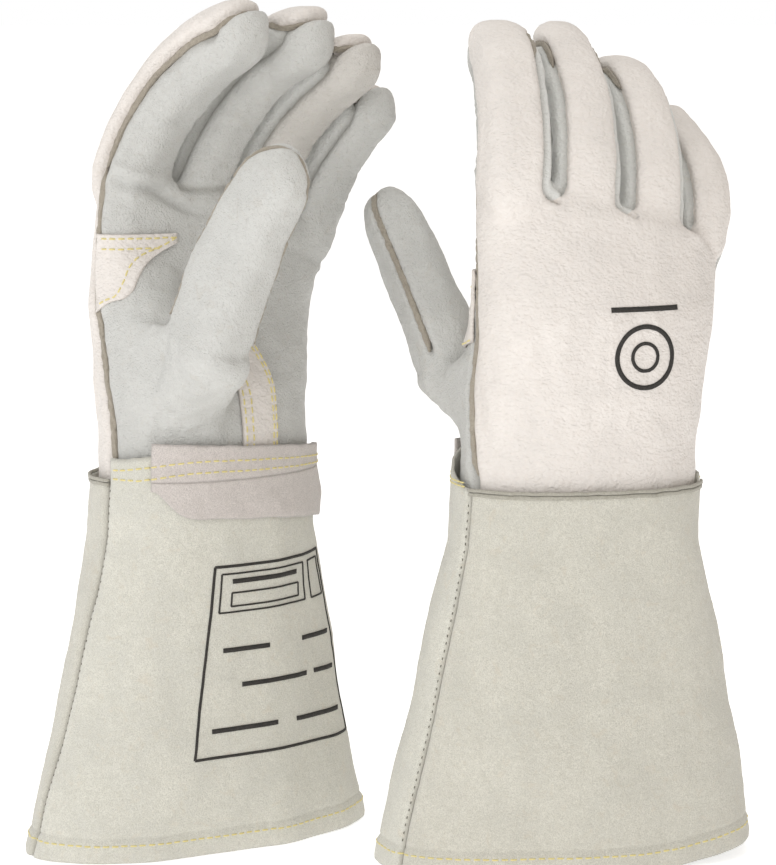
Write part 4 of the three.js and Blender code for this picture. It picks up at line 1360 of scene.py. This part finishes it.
# finish: slot, material, base, low, roughness, sheen, relief, the rest
FINISHES = dict(
    back=("white_grain", "white_deerskin", (0.77, 0.725, 0.69), (0.74, 0.69, 0.65), 0.52, 0.08, HIDE,
        dict(worn=(0.45, 0.38, 0.30), soil=0.22)),
    grain=("grey_grain", "grey_cowhide", (0.60, 0.60, 0.58), (0.565, 0.56, 0.54), 0.58, 0.1, COWHIDE,
        dict(spots=0.28, worn=(0.27, 0.26, 0.23))),
    grain_warm=("grey_grain", "warm_grey_cowhide", (0.625, 0.60, 0.565), (0.59, 0.565, 0.53), 0.58, 0.1,
        COWHIDE, dict(spots=0.3, worn=(0.28, 0.26, 0.22))),
    # a lighter copy of the grey cowhide, painted light for the fourchettes in the shaded slots between the
    # fingers
    grain_painted_lit=("grey_grain", "side_cowhide", (0.77, 0.775, 0.755), (0.72, 0.72, 0.70), 0.58, 0.1, COWHIDE,
        dict(spots=0.28, worn=(0.33, 0.32, 0.29))),
    split=("split_leather", "split_suede", (0.745, 0.73, 0.655), (0.665, 0.65, 0.575), 0.93, 0.35, SUEDE,
        dict(fibre=0.75, worn=(0.43, 0.41, 0.36), spots=0.4, tint=(0.665, 0.655, 0.595))),
    split_cool=("split_leather", "cool_split_suede", (0.69, 0.67, 0.595), (0.615, 0.595, 0.52), 0.93, 0.35,
        SUEDE, dict(fibre=0.75, worn=(0.42, 0.41, 0.37), spots=0.4, tint=(0.62, 0.605, 0.54))),
    flap=("flap_suede", "flap_suede", (0.70, 0.645, 0.615), (0.62, 0.57, 0.54), 0.95, 0.4, SOFT_SUEDE,
        dict(fibre=0.85, worn=(0.36, 0.33, 0.31))),
    welt=("raw_edge", "raw_edge", (0.43, 0.385, 0.32), (0.34, 0.30, 0.245), 0.9, 0.2, EDGE,
        dict(mottle=(0.2, 0.8), fibre=0.5)),
    cuff_edge=("raw_edge", "cuff_raw_edge", (0.47, 0.45, 0.39), (0.36, 0.34, 0.28), 0.92, 0.3, EDGE,
        dict(mottle=(0.2, 0.8), fibre=0.5)),
    thread=("raw_edge", "yellow_thread", (0.82, 0.72, 0.33), (0.74, 0.62, 0.25), 0.7, 0.2, YARN,
        dict(mottle=(0.3, 1.4))),
    dark=("raw_edge", "dark_thread", (0.17, 0.16, 0.13), (0.12, 0.11, 0.09), 0.8, 0.0, YARN, {}),
    ink=("split_leather", "print_ink", (0.03, 0.028, 0.026), (0.06, 0.055, 0.05), 0.75, 0.0, PRINT,
        dict(mottle=(0.3, 1.5))),
)
MATERIALS = {finish: leather(*values[1:7], **values[7]) for finish, values in FINISHES.items()}

# ---------------------------------------------------------------------------
# Camera, floor and light
# ---------------------------------------------------------------------------
ELEVATION, DISTANCE, LENS = 7.0, 1.65, 145.5
target = Vector((0.0, 0.0, 0.197))
e = math.radians(ELEVATION)
camera = bpy.data.objects.new("camera", bpy.data.cameras.new("camera"))
camera.data.lens, camera.data.sensor_width = LENS, 36.0
back_along = Vector((0.0, -math.cos(e), math.sin(e)))
camera.location = target + back_along * DISTANCE
camera.rotation_euler = (-back_along).to_track_quat("-Z", "Y").to_euler()
bpy.context.scene.collection.objects.link(camera)
bpy.context.scene.camera = camera

FLOOR_REACH, FLOOR_Z = 60.0, -0.0005
corners = [(FLOOR_REACH * x, FLOOR_REACH * y, FLOOR_Z) for x, y in ((-1, -1), (1, -1), (1, 1), (-1, 1))]
floor_mesh = new_mesh("floor", corners, [(0, 1, 2, 3)])
pale = bpy.data.materials.new("pale_floor")
pale.use_nodes = True
pale_shader = pale.node_tree.nodes["Principled BSDF"]
pale_shader.inputs["Base Color"].default_value = (0.75, 0.75, 0.75, 1)
pale_shader.inputs["Roughness"].default_value = 0.9
pale_shader.inputs["Emission Color"].default_value = (1, 1, 1, 1)
pale_shader.inputs["Emission Strength"].default_value = 0.66
floor_mesh.materials.append(pale)
floor = bpy.data.objects.new("floor", floor_mesh)
bpy.context.scene.collection.objects.link(floor)

# the sky is brighter to the left and dimmer and warmer to the right; the camera itself sees plain white
sky = bpy.data.worlds.new("studio")
sky.use_nodes = True
nodes, links = sky.node_tree.nodes, sky.node_tree.links
direction, parts_of, across, glow, white, chooser, seen = (
    nodes.new("ShaderNode" + kind)
    for kind in ("TexCoord", "SeparateXYZ", "MapRange", "Mix", "Background", "MixShader", "LightPath")
)
across.inputs["From Min"].default_value = -0.6
glow.data_type = "RGBA"
glow.inputs[6].default_value, glow.inputs[7].default_value = (0.74, 0.735, 0.715, 1), (0.46, 0.42, 0.37, 1)
white.inputs["Color"].default_value = (1, 1, 1, 1)
for start, end in (
    (direction.outputs["Generated"], parts_of.inputs[0]),
    (parts_of.outputs["X"], across.inputs["Value"]),
    (across.outputs["Result"], glow.inputs["Factor"]),
    (glow.outputs[2], nodes["Background"].inputs["Color"]),
    (seen.outputs["Is Camera Ray"], chooser.inputs[0]),
    (nodes["Background"].outputs[0], chooser.inputs[1]),
    (white.outputs[0], chooser.inputs[2]),
    (chooser.outputs[0], nodes["World Output"].inputs[0]),
):
    links.new(start, end)
bpy.context.scene.world = sky
bpy.context.scene.view_settings.view_transform = "Standard"


def softbox(name, place, size, power):
    lamp = bpy.data.lights.new(name, "AREA")
    lamp.shape, lamp.size, lamp.size_y, lamp.energy = "RECTANGLE", size, size, power
    obj = bpy.data.objects.new(name, lamp)
    obj.location = place
    obj.rotation_euler = (Vector((0, 0, 0.2)) - Vector(place)).to_track_quat("-Z", "Y").to_euler()
    bpy.context.scene.collection.objects.link(obj)


softbox("fill", (-0.6, -2.6, 0.8), 1.6, 14.0)
softbox("key", (-1.4, -1.5, 1.2), 0.8, 5.5)
softbox("top", (0.1, 0.3, 1.9), 1.0, 7.0)

# ---------------------------------------------------------------------------
# The two gloves
# ---------------------------------------------------------------------------
for glove in GLOVES.values():
    side = glove["name"]
    ink, thread, dark = Bundle(), Bundle(), Bundle()
    build_hand(glove)
    build_welts(glove)
    build_patches(glove, thread)
    build_cuff(glove, thread, dark)
    build_flap(glove)
    (build_label if side == "left" else build_mark)(glove, ink)
    ink.place(glove, f"{side}_print", "ink")
    thread.place(glove, f"{side}_yellow_stitching", "thread")
    dark.place(glove, f"{side}_dark_stitching", "dark")
